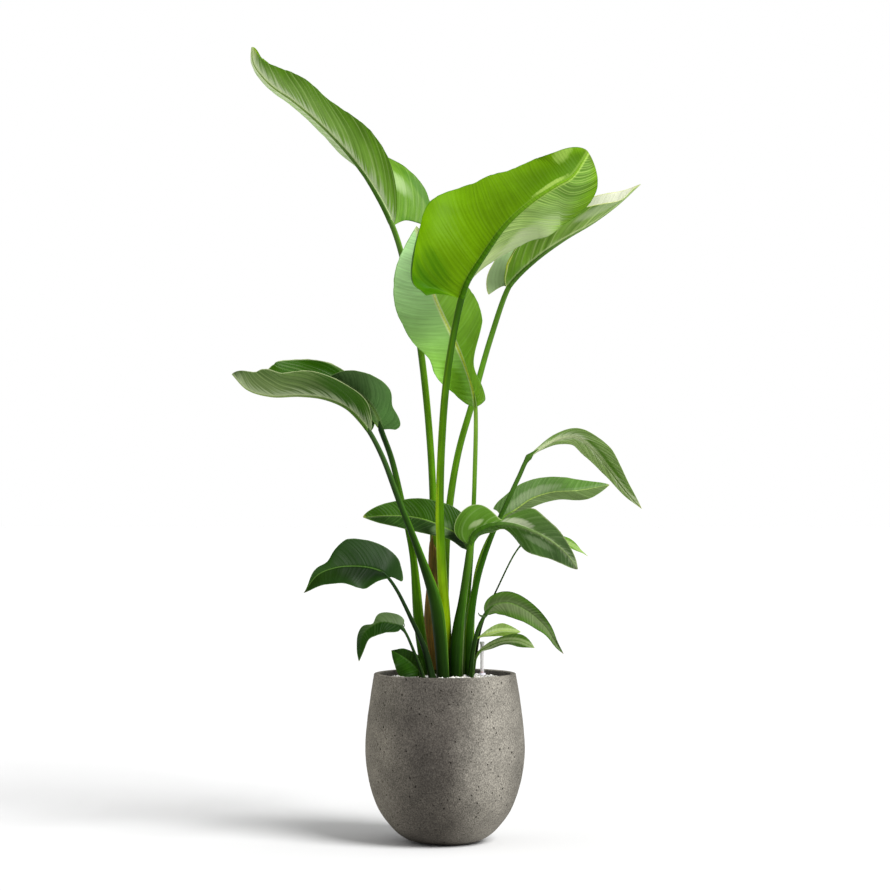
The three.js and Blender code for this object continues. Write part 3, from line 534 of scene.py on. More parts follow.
class Paint:
    """A material being made: each method adds a node and gives its output."""

    def __init__(self, name, roughness=0.5, specular=0.5):
        self.material = bpy.data.materials.new(name)
        self.material.use_nodes = True
        self.tree = self.material.node_tree
        self.shader = self.tree.nodes["Principled BSDF"]
        self.shader.inputs["Roughness"].default_value = roughness
        self.shader.inputs["Specular IOR Level"].default_value = specular

    def feed(self, socket, value):
        if isinstance(value, bpy.types.NodeSocket):
            self.tree.links.new(value, socket)
        else:
            socket.default_value = value

    def node(self, kind):
        return self.tree.nodes.new(f"ShaderNode{kind}")

    def fed(self, made, inputs, output=0):
        """An output of a node, once its inputs are fed, each by its name or number."""
        for key, value in inputs.items():
            self.feed(made.inputs[key], value)
        return made.outputs[output]

    def attribute(self, name):
        made = self.node("Attribute")
        made.attribute_name = name
        return made.outputs["Vector"]

    def place(self):
        return self.node("TexCoord").outputs["Object"]

    def split(self, vector):
        made = self.node("SeparateXYZ")
        self.feed(made.inputs[0], vector)
        return made.outputs[0], made.outputs[1], made.outputs[2]

    def stretch(self, vector, x, y, z, shift=0.0):
        """The vector with each of its parts scaled, and moved to another place of a pattern."""
        made = self.node("VectorMath")
        made.operation = "MULTIPLY_ADD"
        return self.fed(made, {0: vector, 1: (x, y, z), 2: (shift, shift * 1.7, shift * 0.6)})

    def noise(self, vector, scale=1.0, detail=3.0, rough=0.55):
        inputs = {"Vector": vector, "Scale": scale, "Detail": detail, "Roughness": rough}
        return self.fed(self.node("TexNoise"), inputs, "Fac")

    def cells(self, vector, scale, output="Distance"):
        return self.fed(self.node("TexVoronoi"), {"Vector": vector, "Scale": scale}, output)

    def math(self, operation, a, b=0.0, c=0.0):
        made = self.node("Math")
        made.operation = operation
        return self.fed(made, {0: a, 1: b, 2: c})

    def plus(self, a, b):
        return self.math("ADD", a, b)

    def less(self, a, b):
        return self.math("SUBTRACT", a, b)

    def times(self, a, b):
        return self.math("MULTIPLY", a, b)

    def ramp(self, value, low, high, start=0.0, end=1.0):
        made = self.node("MapRange")
        made.interpolation_type = "SMOOTHSTEP"
        inputs = {"Value": value, "From Min": low, "From Max": high, "To Min": start, "To Max": end}
        return self.fed(made, inputs)

    def mix(self, factor, a, b):
        made = self.node("Mix")
        made.data_type = "RGBA"
        return self.fed(made, {0: factor, 6: a, 7: b}, 2)

    def tint(self, colour, other, share, amount=None):
        """The colour with a share of another one, given on the scale of 0 to 255, laid over it."""
        return self.mix(share if amount is None else self.times(share, amount), colour, tone(*other))

    def scale(self, colour, factor):
        made = self.node("VectorMath")
        made.operation = "SCALE"
        return self.fed(made, {0: colour, "Scale": factor})

    def gain(self, colour, value, amount, low=0.3, high=0.7):
        """The colour made darker and lighter by a pattern, by up to the given amount."""
        return self.scale(colour, self.ramp(value, low, high, 1 - amount, 1 + amount))

    def vary(self, colour, value, strength):
        """The colour made darker and lighter by a pattern, by a strength that may itself be a pattern."""
        pattern = self.ramp(value, 0.36, 0.64, -1, 1)
        return self.scale(colour, self.math("MULTIPLY_ADD", pattern, strength, 1.0))

    def bump(self, height, distance, strength=1.0, normal=None):
        inputs = {"Strength": strength, "Distance": distance, "Height": height}
        if normal:
            inputs["Normal"] = normal
        return self.fed(self.node("Bump"), inputs)

    def finish(self, colour, roughness=None, normal=None):
        for key, value in (("Base Color", colour), ("Roughness", roughness), ("Normal", normal)):
            if value:
                self.feed(self.shader.inputs[key], value)
        return self.material


def four(colours):
    """The colours at the left half's base and tip and the right half's, from one, two or all four of them."""
    return [tone(*colour) for colour in colours for _ in range(4 // len(colours))]


# Streaks of the skins: how many to a metre across them and along them, the shift of their pattern and, for
# the stalks, how fine their detail is
BLADE_STREAKS = ((62, 7, 0), (150, 9, 3), (430, 12, 5))
STALK_STREAKS = ((92, 2.4, 0, 2), (420, 7, 1, 3), (1300, 16, 2, 2), (24, 16, 4, 3))

# How far to either side of the rib, in metres, one half's finish goes over into the other's
CENTRE = (-0.0001, 0.0001)


def leaf_paint(name, look, seed):
    """A blade's skin: two faces, veins, streaks, bloom by the rib, patches, a margin and an older tip."""
    p = Paint(name, specular=look["shine"])
    lay = p.attribute("lay")
    vein, lateral, share = p.split(lay)
    rib, edge, under = p.split(p.attribute("mark"))
    out = p.math("ABSOLUTE", lateral)
    side = p.ramp(lateral, -0.001, 0.001)
    far = p.ramp(share, 0.15, 0.85)
    skins = []
    for key in ("top", "under"):
        a, b, c, d = four(look[key])
        skins.append(p.mix(side, p.mix(far, a, b), p.mix(far, c, d)))
    colour = p.mix(under, *skins)
    outer = p.ramp(p.math("DIVIDE", out, p.plus(p.plus(out, edge), 0.0001)), 0.35, 0.95)
    for key, flag in (("outer_top", p.less(1.0, under)), ("outer_under", under)):
        if key in look:
            colour = p.tint(colour, look[key], outer, flag)

    broad, middle, fine = (
        p.noise(p.stretch(lay, across, along, 0, seed + shift), 1, 2)
        for across, along, shift in BLADE_STREAKS
    )
    blotch = p.noise(p.place(), 11, 4)
    strength = p.ramp(lateral, *CENTRE, *look["veins"])
    colour = p.vary(colour, broad, p.times(strength, 0.3))
    colour = p.gain(colour, blotch, 0.12)
    phase = p.plus(p.times(vein, 2 * math.pi / look["spacing"]), p.times(broad, 9.0))
    wave = p.plus(p.times(p.math("SINE", phase), 0.5), 0.5)
    line = p.times(p.math("POWER", wave, 5.0), p.ramp(middle, 0.36, 0.62))
    colour = p.tint(colour, look["vein"], line, strength)
    trough = p.times(p.math("POWER", p.less(1.0, wave), 3.0), p.ramp(middle, 0.62, 0.4))
    colour = p.tint(colour, look["deep"], trough, strength)
    colour = p.vary(colour, middle, p.times(strength, 0.2))
    colour = p.vary(colour, fine, p.math("MULTIPLY_ADD", strength, 0.2, 0.03))

    reach = p.times(p.ramp(middle, 0.3, 0.72, 0.35, 1.5), look["reach"])
    near_rib = p.ramp(p.math("DIVIDE", out, reach), 1.25, 0.25)
    colour = p.tint(colour, look["bloom_tone"], p.times(near_rib, under), look["bloom"])
    # Patches of colour; some of them are painted highlights, a painted sheen or painted shade, as noted at
    # their leaves.
    for place, length, centre, width, patch, amount in look["patches"]:
        a = p.times(p.less(share, place), 1 / length)
        b = p.times(p.less(lateral, centre * MM), 1 / (width * MM))
        distance = p.plus(p.plus(p.times(a, a), p.times(b, b)), p.times(p.less(middle, 0.5), 1.2))
        colour = p.tint(colour, patch, p.ramp(distance, 1.0, 0.15), amount)

    colour = p.tint(colour, look["rim"], p.ramp(edge, 0.0024, 0.0005), look["edge"])
    old = p.ramp(p.plus(share, p.times(blotch, 0.05)), look["old_from"], 1.03)
    colour = p.tint(colour, look["tip"], old, 0.8)
    flank = p.ramp(p.less(out, look["rib_width"]), look["flank_reach"], 0.0005)
    colour = p.tint(colour, look["flank_tone"], flank, p.ramp(lateral, *CENTRE, *look["flank"]))
    rib_tone = p.gain(p.mix(far, tone(*look["rib"][0]), tone(*look["rib"][-1])), fine, 0.14)
    starts = p.ramp(under, 0, 1, look["rib_from"], 0.05)
    ends = p.ramp(under, 0, 1, look["rib_from"] + 0.35, 0.4)
    colour = p.mix(p.ramp(rib, starts, ends), colour, rib_tone)
    roughness = p.plus(p.ramp(under, 0, 1, look["gloss"], 0.5), p.times(p.less(blotch, 0.5), 0.2))
    return p.finish(colour, roughness, p.bump(fine, 0.0005, 0.5, p.bump(wave, 0.0008, look["relief"])))


def stem_paint(name, look, seed):
    """A stalk's skin: broad light and dark bands and fine streaks up its length, a painted light side, a
    painted highlight along its edge and painted shade at its foot.
    """
    p = Paint(name, 0.42, 0.07)
    lay = p.attribute("lay")
    part, _, _ = p.split(p.attribute("mark"))
    low, middle, high, pale, bright_side = look
    colour = p.mix(p.ramp(part, 0.05, 0.4), tone(*low), tone(*middle))
    colour = p.tint(colour, high, p.ramp(part, 0.5, 1.0))
    bands, streaks, fibres, patches = (
        p.noise(p.stretch(lay, round_it, round_it, along, seed + shift), 1, detail)
        for round_it, along, shift, detail in STALK_STREAKS
    )
    # Painted light and shade by side: the side facing right, or left where bright_side is negative, is tinted
    # pale and lightened, the other darkened, mixed with broad bands.
    right, _, _ = p.split(p.node("NewGeometry").outputs["Normal"])
    lit = p.math("MULTIPLY_ADD", right, bright_side, p.times(p.less(bands, 0.5), 1.6))
    colour = p.tint(colour, pale, p.ramp(lit, 0.1, 0.75), p.ramp(part, 0.9, 0.5, 0.2, 0.85))
    colour = p.vary(colour, p.math("MULTIPLY_ADD", lit, 0.3, 0.5), 0.24)
    # A painted highlight: a pale line along the lit edge.
    lit_edge = p.ramp(p.times(right, math.copysign(1.0, bright_side)), 0.8, 0.95)
    colour = p.tint(colour, (150, 170, 90), p.times(lit_edge, p.ramp(streaks, 0.4, 0.6)), 0.3)
    for pattern, amount in ((streaks, 0.16), (fibres, 0.08), (patches, 0.14)):
        colour = p.gain(colour, pattern, amount)
    # Painted shade at the foot, where the stalks crowd together in the clump.
    foot = p.ramp(p.plus(part, p.times(patches, 0.1)), 0.2, 0.06)
    colour = p.tint(colour, (22, 44, 8), foot, 0.75)
    return p.finish(colour, p.ramp(streaks, 0.3, 0.7, 0.34, 0.52), p.bump(streaks, 0.0006, 0.6))


# What every blade's finish has unless its own says otherwise, with the lengths in metres. veins: how strong
# the side veins show on the left and on the right half. spacing, lean: how far apart the veins stand and how
# they slant. bloom, reach, bloom_tone: the pale bloom beside the rib underneath, its strength, how far out it
# goes and its colour. edge: strength of the margin line. tip, old_from: colour of the older tip and where it
# starts. flank, flank_reach, flank_tone: the light strip beside the rib. rib_width: how far out the rib goes.
# rib_from: where the rib starts to show on top. gloss: roughness on top. shine: strength of the reflections.
# relief: strength of the veins' bumps.
LOOK = dict(
    veins=(0.2, 0.2), spacing=0.009, lean=(0.7, 0.7), bloom=0.0, reach=0.02, bloom_tone=(196, 208, 172),
    edge=0.6, tip=(150, 150, 70), old_from=0.985, flank=(0.3, 0.3), flank_reach=0.004,
    flank_tone=(196, 214, 150), rib_width=0.004, rib_from=0.5, gloss=0.36, shine=0.07, relief=0.35,
    patches=[],
)

# Finishes of the blades. Colours are those of the left and the right half, or of their bases and tips, on
# the scale of 0 to 255. A patch is its place and length in shares of the blade, its place and width in mm
# from the rib, its colour and its strength.
# Some patches are painted highlights, a painted sheen or painted shade, as noted at each leaf.
LOOKS = {
    "top_left": dict(
        top=[(126, 168, 66), (130, 170, 70), (92, 134, 34), (150, 186, 20)],
        under=[(118, 162, 56), (112, 146, 66), (150, 174, 120), (164, 194, 124)], outer_under=(84, 128, 20),
        rib=[(56, 92, 20), (118, 148, 70)], vein=(176, 196, 128), deep=(66, 106, 20), rim=(70, 108, 30),
        veins=(0.34, 0.16), spacing=0.024, lean=(1.9, 1.2), flank=(0.6, 0.6), bloom=0.7, tip=(150, 178, 20),
        old_from=0.95,
        # The first patch is a painted highlight on the ear.
        patches=[(0.2, 0.09, 82, 26, (180, 202, 148), 0.5), (0.02, 0.05, 44, 22, (60, 106, 20), 0.6),
            (0.12, 0.1, 122, 14, (64, 112, 10), 0.75)],
    ),
    "lime": dict(
        top=[(70, 116, 0), (56, 100, 0)], under=[(146, 172, 98), (90, 124, 44), (92, 132, 0), (68, 106, 0)],
        outer_under=(92, 134, 0), rib=[(52, 94, 2), (100, 140, 20)], vein=(168, 196, 100), deep=(66, 112, 0),
        rim=(62, 106, 0), veins=(0.42, 0.035), spacing=0.0085, lean=(1.6, 0.42), edge=0.7, gloss=0.3,
        shine=0.05, flank=(0.6, 0.25), flank_tone=(160, 192, 84), tip=(86, 112, 20),
        # The first patch is a painted highlight along the rib and the second one near the tip's margin; the
        # third and fourth paint a pale sheen on the left half.
        patches=[(0.7, 0.14, 9, 6, (160, 186, 90), 0.6), (0.89, 0.09, 48, 20, (170, 198, 100), 0.36),
            (0.36, 0.4, -84, 44, (196, 208, 164), 0.55), (0.16, 0.16, -34, 36, (184, 200, 140), 0.5),
            (0.62, 0.2, -60, 40, (128, 156, 88), 0.4), (0.0, 0.15, 96, 84, (52, 100, 0), 0.9)],
    ),
    "upright": dict(
        top=[(124, 176, 62), (182, 228, 156), (120, 174, 36), (138, 188, 66)], under=[(150, 172, 116)],
        rib=[(186, 206, 70), (206, 218, 130)], vein=(156, 194, 134), deep=(86, 134, 54), rim=(88, 138, 40),
        veins=(0.14, 0.16), lean=(0.5, 0.5), gloss=0.4, flank=(0.85, 0.85), flank_reach=0.003,
        rib_width=0.0035, rib_from=0.12, patches=[(0.12, 0.16, -34, 26, (96, 148, 0), 0.75)],
    ),
    "upper_right": dict(
        top=[(180, 208, 152), (208, 210, 188), (140, 176, 36), (130, 160, 60)],
        under=[(150, 172, 118), (196, 206, 176), (96, 136, 32), (138, 170, 84)], outer_under=(98, 142, 34),
        rib=[(60, 98, 20), (120, 150, 80)], vein=(180, 200, 126), deep=(60, 100, 6), rim=(206, 214, 140),
        veins=(0.12, 0.42), spacing=0.028, lean=(1.6, 1.6), edge=0.8, flank=(0.2, 0.5), bloom=0.2, reach=0.01,
        tip=(130, 120, 40), old_from=0.97,
        # The first patch is painted light: a bright strip on the right half's base, where its inner face
        # catches the light.
        patches=[(0.06, 0.07, 46, 14, (204, 220, 40), 0.9), (0.7, 0.25, 40, 18, (180, 196, 150), 0.5),
            (0.07, 0.12, 4, 22, (80, 126, 20), 0.6)],
    ),
    "left": dict(
        top=[(46, 78, 14), (46, 78, 14), (32, 72, 0), (48, 84, 6)],
        under=[(46, 76, 14), (108, 130, 74), (120, 142, 92), (140, 156, 112)], outer_under=(88, 114, 56),
        rib=[(70, 102, 30), (136, 156, 92)], vein=(150, 170, 110), deep=(38, 68, 4), rim=(170, 184, 132),
        veins=(0.34, 0.2), spacing=0.024, lean=(1.9, 2.2), edge=0.7, gloss=0.26, bloom=0.35, reach=0.022,
        # The patch is painted shade inside the fold at the left half's base.
        tip=(50, 74, 24), old_from=0.95, patches=[(0.2, 0.24, -52, 48, (44, 84, 2), 0.9)],
    ),
    "left_back": dict(
        top=[(72, 106, 48), (72, 106, 48), (80, 122, 58), (82, 110, 64)], under=[(140, 152, 118)],
        rib=[(96, 128, 58)], vein=(116, 152, 90), deep=(36, 70, 18), rim=(110, 142, 64), veins=(0.14, 0.14),
        spacing=0.01, lean=(0.8, 0.8), edge=0.4, flank=(0.1, 0.1),
        patches=[(0.0, 0.12, 60, 20, (160, 166, 132), 0.8), (0.02, 0.1, -12, 14, (120, 152, 50), 0.8)],
    ),
    "middle_left": dict(
        top=[(26, 52, 10), (32, 60, 14), (36, 72, 0), (44, 80, 4)], under=[(140, 160, 112)],
        rib=[(104, 142, 52), (104, 140, 54)], vein=(104, 138, 66), deep=(36, 62, 10), rim=(96, 128, 56),
        spacing=0.008, lean=(0.9, 0.9), edge=0.5, gloss=0.4, flank=(0.08, 0.0), rib_width=0.0022,
        patches=[(0.28, 0.1, -10, 30, (112, 138, 92), 0.5)],
    ),
    "low_left": dict(
        top=[(6, 28, 0), (20, 44, 0), (16, 44, 2), (28, 56, 8)], under=[(124, 148, 96)],
        outer_top=(24, 50, 10), rib=[(54, 86, 24), (66, 96, 36)], vein=(46, 78, 28), deep=(8, 26, 0),
        rim=(76, 106, 50), veins=(0.08, 0.06), edge=0.4, gloss=0.4, shine=0.08, relief=0.1, flank=(0.0, 0.0),
        tip=(64, 54, 30), old_from=0.97,
    ),
    "lowest_left": dict(
        top=[(18, 46, 4), (26, 60, 0), (70, 90, 52), (24, 58, 4)], under=[(120, 140, 92)],
        rib=[(40, 66, 16), (34, 62, 10)], vein=(90, 110, 70), deep=(10, 28, 2), rim=(96, 120, 70),
        veins=(0.15, 0.2), spacing=0.008, lean=(0.8, 0.8), edge=0.4, gloss=0.38, flank=(0.0, 0.0),
    ),
    "rim_left": dict(
        top=[(34, 72, 4), (24, 50, 4)], under=[(90, 116, 62)], outer_top=(24, 52, 4), rib=[(48, 84, 16)],
        vein=(66, 100, 28), deep=(14, 34, 2), rim=(60, 90, 30), spacing=0.008, lean=(0.6, 0.6), edge=0.4,
        gloss=0.4, flank=(0.0, 0.0),
    ),
    "right": dict(
        top=[(84, 124, 36)], under=[(58, 100, 10), (66, 94, 48), (76, 116, 30), (78, 104, 58)],
        rib=[(50, 88, 14), (116, 138, 84)], vein=(160, 176, 132), deep=(42, 74, 12), rim=(160, 176, 120),
        veins=(0.12, 0.16), spacing=0.018, lean=(1.3, 1.3), flank=(0.05, 0.05), bloom=0.3, reach=0.006,
        bloom_tone=(180, 192, 156), tip=(58, 50, 34), old_from=0.97,
        # The second patch is a painted highlight near the joint.
        patches=[(0.42, 0.14, 8, 11, (190, 196, 168), 0.6), (0.13, 0.05, 17, 8, (180, 192, 148), 0.42),
            (0.62, 0.16, -16, 9, (128, 146, 108), 0.5)],
    ),
    "right_back": dict(
        top=[(82, 114, 56), (76, 114, 40), (92, 112, 68), (90, 112, 60)], under=[(144, 162, 116)],
        rib=[(146, 170, 84), (150, 174, 96)], vein=(150, 172, 118), deep=(68, 106, 32), rim=(100, 134, 56),
        lean=(0.8, 0.8), edge=0.5, gloss=0.44, flank=(0.2, 0.0), flank_tone=(140, 156, 120),
        patches=[(0.3, 0.3, -12, 12, (142, 158, 120), 0.6)],
    ),
    "arching_right": dict(
        top=[(104, 140, 60)], under=[(132, 160, 88), (114, 146, 72)], rib=[(170, 182, 136), (84, 118, 36)],
        vein=(186, 198, 154), deep=(64, 102, 20), rim=(130, 154, 84), veins=(0.5, 0.4), spacing=0.013,
        lean=(2.0, 2.0), bloom=0.5, reach=0.01, bloom_tone=(206, 212, 188), tip=(170, 164, 50), old_from=0.95,
        patches=[(0.6, 0.25, 8, 9, (70, 110, 12), 0.85)],
    ),
    "low_right_back": dict(
        top=[(84, 126, 24)], under=[(150, 170, 110)], rib=[(120, 156, 60)], vein=(150, 180, 76),
        deep=(76, 118, 20), rim=(110, 144, 44), edge=0.5,
    ),
    "low_right": dict(
        top=[(64, 84, 40), (72, 90, 50), (88, 104, 64), (84, 102, 60)], under=[(130, 142, 112)],
        outer_top=(64, 98, 26), rib=[(86, 114, 52), (110, 132, 78)], vein=(130, 150, 100), deep=(44, 74, 16),
        rim=(52, 80, 20), spacing=0.008, lean=(0.9, 0.9), gloss=0.4, flank=(0.12, 0.05),
        flank_tone=(130, 150, 100), tip=(120, 84, 40), old_from=0.98,
    ),
    "small_back": dict(
        top=[(104, 128, 62), (90, 116, 40)], under=[(150, 166, 104)], rib=[(140, 162, 66)],
        vein=(160, 180, 104), deep=(90, 120, 30), rim=(110, 140, 36), spacing=0.007, edge=0.5,
    ),
    "small_front": dict(
        top=[(88, 114, 54), (62, 94, 20), (104, 122, 84), (56, 92, 14)], under=[(148, 164, 118)],
        rib=[(86, 116, 46)], vein=(130, 150, 106), deep=(44, 72, 14), rim=(78, 108, 38), spacing=0.007,
        edge=0.5,
    ),
}

# Colours of the stalks at the granules, in the middle and below the blade, and of the light side, and how far
# the light side lies to the right, or with a minus to the left
STEM_LOOKS = {
    "top_left": [(70, 60, 14), (76, 122, 6), (70, 106, 34), (122, 168, 14), 0.5],
    "lime": [(134, 164, 0), (66, 108, 0), (44, 82, 6), (160, 194, 26), -0.7],
    "upright": [(56, 96, 4), (70, 122, 4), (104, 140, 44), (100, 150, 20), -0.4],
    "upper_right": [(52, 92, 4), (72, 114, 10), (72, 110, 30), (92, 140, 24), -0.4],
    "left": [(18, 44, 0), (28, 58, 2), (44, 70, 28), (66, 112, 10), 0.6],
    "left_back": [(44, 86, 2), (62, 106, 2), (26, 54, 16), (100, 142, 8), 0.4],
    "middle_left": [(34, 58, 10), (42, 72, 20), (60, 92, 26), (62, 94, 36), -0.4],
    "low_left": [(14, 34, 4), (16, 36, 8), (24, 48, 14), (32, 58, 20), 0.4],
    "lowest_left": [(14, 34, 4), (18, 38, 8), (26, 50, 14), (34, 60, 20), 0.4],
    "rim_left": [(24, 44, 4), (28, 56, 6), (34, 66, 10), (44, 76, 16), 0.4],
    "right": [(14, 40, 0), (28, 60, 2), (60, 98, 14), (60, 98, 14), 0.4],
    "right_back": [(52, 90, 0), (96, 138, 2), (84, 120, 36), (160, 190, 24), -0.5],
    "arching_right": [(34, 72, 0), (42, 86, 2), (64, 100, 30), (106, 146, 10), -0.4],
    "low_right_back": [(24, 44, 8), (24, 40, 12), (50, 80, 24), (40, 62, 20), 0.4],
    "low_right": [(18, 38, 2), (18, 42, 4), (44, 76, 16), (36, 64, 14), 0.4],
    "small_back": [(20, 40, 6), (60, 88, 20), (110, 136, 50), (80, 110, 36), 0.4],
    "small_front": [(20, 40, 6), (36, 64, 12), (76, 106, 40), (56, 86, 30), 0.4],
}

# The record's material slots of the blades and stalks, where they aren't green_leaf and deep_stalk
BLADE_SLOTS = {
    "lime": "lime_leaf", "upright": "pale_leaf", "middle_left": "pale_leaf", "right_back": "pale_leaf",
    "arching_right": "pale_leaf", "small_back": "pale_leaf", "left": "deep_leaf", "left_back": "deep_leaf",
    "rim_left": "deep_leaf",
}
STALK_SLOTS = {
    "lime": "lime_stalk", "top_left": "green_stalk", "upright": "green_stalk", "upper_right": "green_stalk",
    "left_back": "green_stalk", "right_back": "green_stalk", "arching_right": "green_stalk",
}
STUB_LOOK = [(36, 56, 22), (46, 70, 28), (66, 88, 48), (84, 104, 60), 0.3]

# Pot, granules and gauge, in millimetres, as in the solids
POT_OUTSIDE = [
    (50, 0), (73, 4), (97, 17), (118, 38), (139, 68), (156, 112), (165, 156), (168, 196), (165.5, 238),
    (160.5, 280), (154.5, 322), (150, 350),
]
POT_INSIDE = [
    (138, 350), (137.5, 338), (143, 300), (150, 250), (153.5, 196), (151, 150), (142, 108), (124, 66),
    (90, 28),
]
POT_TOP = 354
POT_LIP = 146
POT_FLOOR = 22
FILL_EDGE = 338.35
FILL_DOME = 10
FILL_RADIUS = 137
GAUGE_AT = (79, 42)

# Sides of the pot and of the gauge's pieces, and how uneven the cast surface is in mm
POT_SIDES = 320
PIN_SIDES = 48
POT_ROUGH = 0.55


def turned(profile, sides, rough=0.0, seed=0.0):
    """Points of a profile of radius and height turned round the upright axis, made uneven by rough mm."""
    profile = np.array(profile, float)
    turn = np.linspace(0, 2 * np.pi, sides, endpoint=False)
    radius, height = profile[:, :1], profile[:, 1:]
    points = triples(radius * np.cos(turn), radius * np.sin(turn), height)
    if rough:
        for k, (x, y, z) in enumerate(points):
            broad = noise.noise(Vector((x, y, z)) / 46 + Vector((seed, 0, 0)))
            fine = noise.noise(Vector((x, y, z)) / 9 + Vector((0, seed, 0)))
            reach = math.hypot(x, y) + 1e-6
            points[k] += np.array([x / reach, y / reach, 0]) * (rough * (broad + 0.35 * fine))
    return points


def smooth_profile(points, count):
    """The given number of points on a smooth curve through a profile."""
    line, _ = curve([(x, 0, z) for x, z in points], np.linspace(0, 1, count))
    return line[:, [0, 2]].tolist()


def concrete():
    """Cast concrete: sand grains, pinholes and soft patches; painted shade in front, at the foot, inside and
    in the pinholes, painted light at the sides and near the top.
    """
    p = Paint("cast_concrete", 0.9, 0.08)
    at = p.place()
    across, _, height = p.split(at)
    inner, _, _ = p.split(p.attribute("mark"))
    # Painted light and shade from side to side: lighter at the left edge, dark across the middle that faces
    # the front, lighter to the right and darker again at the right edge.
    shift = p.math("MULTIPLY_ADD", p.less(p.noise(at, 7, 5, 0.62), 0.5), 0.1, across)
    colour = p.mix(p.ramp(shift, -0.165, -0.05), tone(128, 123, 112), tone(74, 70, 65))
    colour = p.tint(colour, (132, 128, 119), p.ramp(shift, 0.0, 0.1))
    colour = p.tint(colour, (92, 89, 82), p.ramp(across, 0.11, 0.165), 0.6)
    # Painted shade toward the foot and painted light near the top.
    colour = p.tint(colour, (84, 80, 72), p.ramp(height, 0.2, 0.05), 0.3)
    colour = p.tint(colour, (112, 108, 100), p.ramp(height, 0.22, 0.34), 0.22)
    colour = p.gain(colour, p.noise(at, 16, 5, 0.65), 0.16)
    colour = p.gain(colour, p.noise(at, 330, 2, 0.7), 0.24, 0.36, 0.64)
    colour = p.gain(colour, p.noise(p.stretch(at, 420, 420, 300), 1, 2), 0.22, 0.36, 0.64)
    distance = p.cells(p.stretch(at, 92, 92, 74), 1)
    size = p.ramp(p.noise(at, 120, 2), 0.4, 0.6, 0.08, 0.22)
    pits = p.ramp(p.times(p.less(size, distance), 14), 0, 1)
    holes = p.times(pits, p.ramp(p.noise(at, 55, 2), 0.42, 0.5))
    # Painted shade in the pinholes; the same mask dents them in the bump below.
    colour = p.tint(colour, (30, 27, 23), holes, 0.9)
    specks = p.cells(p.stretch(at, 1, 1, 0.7), 190)
    dotted = p.times(p.ramp(specks, 0.26, 0.14), p.ramp(p.noise(at, 60, 2), 0.4, 0.56))
    colour = p.tint(colour, (44, 40, 35), dotted, 0.75)
    # Painted shade on the inside of the pot.
    colour = p.tint(colour, (66, 64, 62), inner, 0.75)
    normal = p.bump(p.noise(at, 230, 3, 0.7), 0.0016, 0.8)
    normal = p.bump(p.noise(at, 60, 4), 0.0014, 0.5, normal)
    normal = p.bump(p.less(1.0, holes), 0.002, 0.9, normal)
    return p.finish(colour, p.ramp(p.noise(at, 30, 3), 0.3, 0.7, 0.82, 0.97), normal)


def pot():
    """The hollow pot, with a worn foot and a rounded rim, with painted shade on the inside."""
    foot = [(0.5, 0.9), (20, 0.6), (42, 0.4), (47, 0.1), (48.6, 0.05)]
    outside = smooth_profile(POT_OUTSIDE, 110) + [(149.7, 352.2), (148.6, 353.5), (POT_LIP + 0.8, POT_TOP)]
    rim = [(143.5, 354.05), (141.2, 353.8), (139.6, 353), (138.5, 351.8)]
    inside = smooth_profile(POT_INSIDE, 60) + [(60, POT_FLOOR + 1), (0.5, POT_FLOOR)]
    profile = foot + outside + rim + inside
    inner = np.arange(len(profile)) >= len(foot) + len(outside) + 3
    points = turned(profile, POT_SIDES, POT_ROUGH, 3.1)
    piece("concrete_pot", points, tube_faces(len(profile), POT_SIDES), concrete(), "pot", "pot",
          attributes={"mark": triples(np.repeat(inner, POT_SIDES), 0, 0)})


def bed():
    """The filling under the loose grains, with painted shade in the gaps between its grains."""
    p = Paint("packed_granules", 0.9, 0.3)
    at = p.place()
    distance = p.cells(at, 150)
    # Painted shade: darker toward the rim of each cell, where the gaps between grains lie.
    colour = p.mix(p.ramp(distance, 0.25, 0.7), tone(150, 144, 132), tone(58, 52, 44))
    colour = p.gain(colour, p.cells(at, 150, "Color"), 0.2, 0.0, 1.0)
    colour = p.gain(colour, p.noise(at, 500, 3), 0.1)
    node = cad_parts["granules"]
    node.data.materials.clear()
    node.data.materials.append(p.finish(colour, None, p.bump(p.less(1.0, distance), 0.003, 0.9)))


def grain_paint():
    """Pale mineral grains of several shades, some of them brownish."""
    p = Paint("mineral_grains", 0.85, 0.3)
    shade, warmth, _ = p.split(p.attribute("mark"))
    at = p.place()
    colour = p.mix(p.ramp(shade, 0.1, 0.7), tone(196, 192, 184), tone(252, 251, 249))
    colour = p.tint(colour, (150, 118, 84), p.ramp(warmth, 0.8, 0.95), 0.5)
    colour = p.gain(colour, p.noise(at, 700, 3), 0.14)
    return p.finish(colour, None, p.bump(p.noise(at, 900, 3), 0.0005, 0.7))


# Distance between the loose grains, how far each is off its place, and their radii, in mm
GRAIN_PITCH = 6.4
GRAIN_SHIFT = 1.6
GRAIN_SIZE = (2.3, 4.1)

# Room in mm that the grains leave round the gauge's middle, round a stalk and at the pot's wall
GAUGE_ROOM = 14.5
STALK_ROOM = 1.5
WALL_ROOM = 0.8


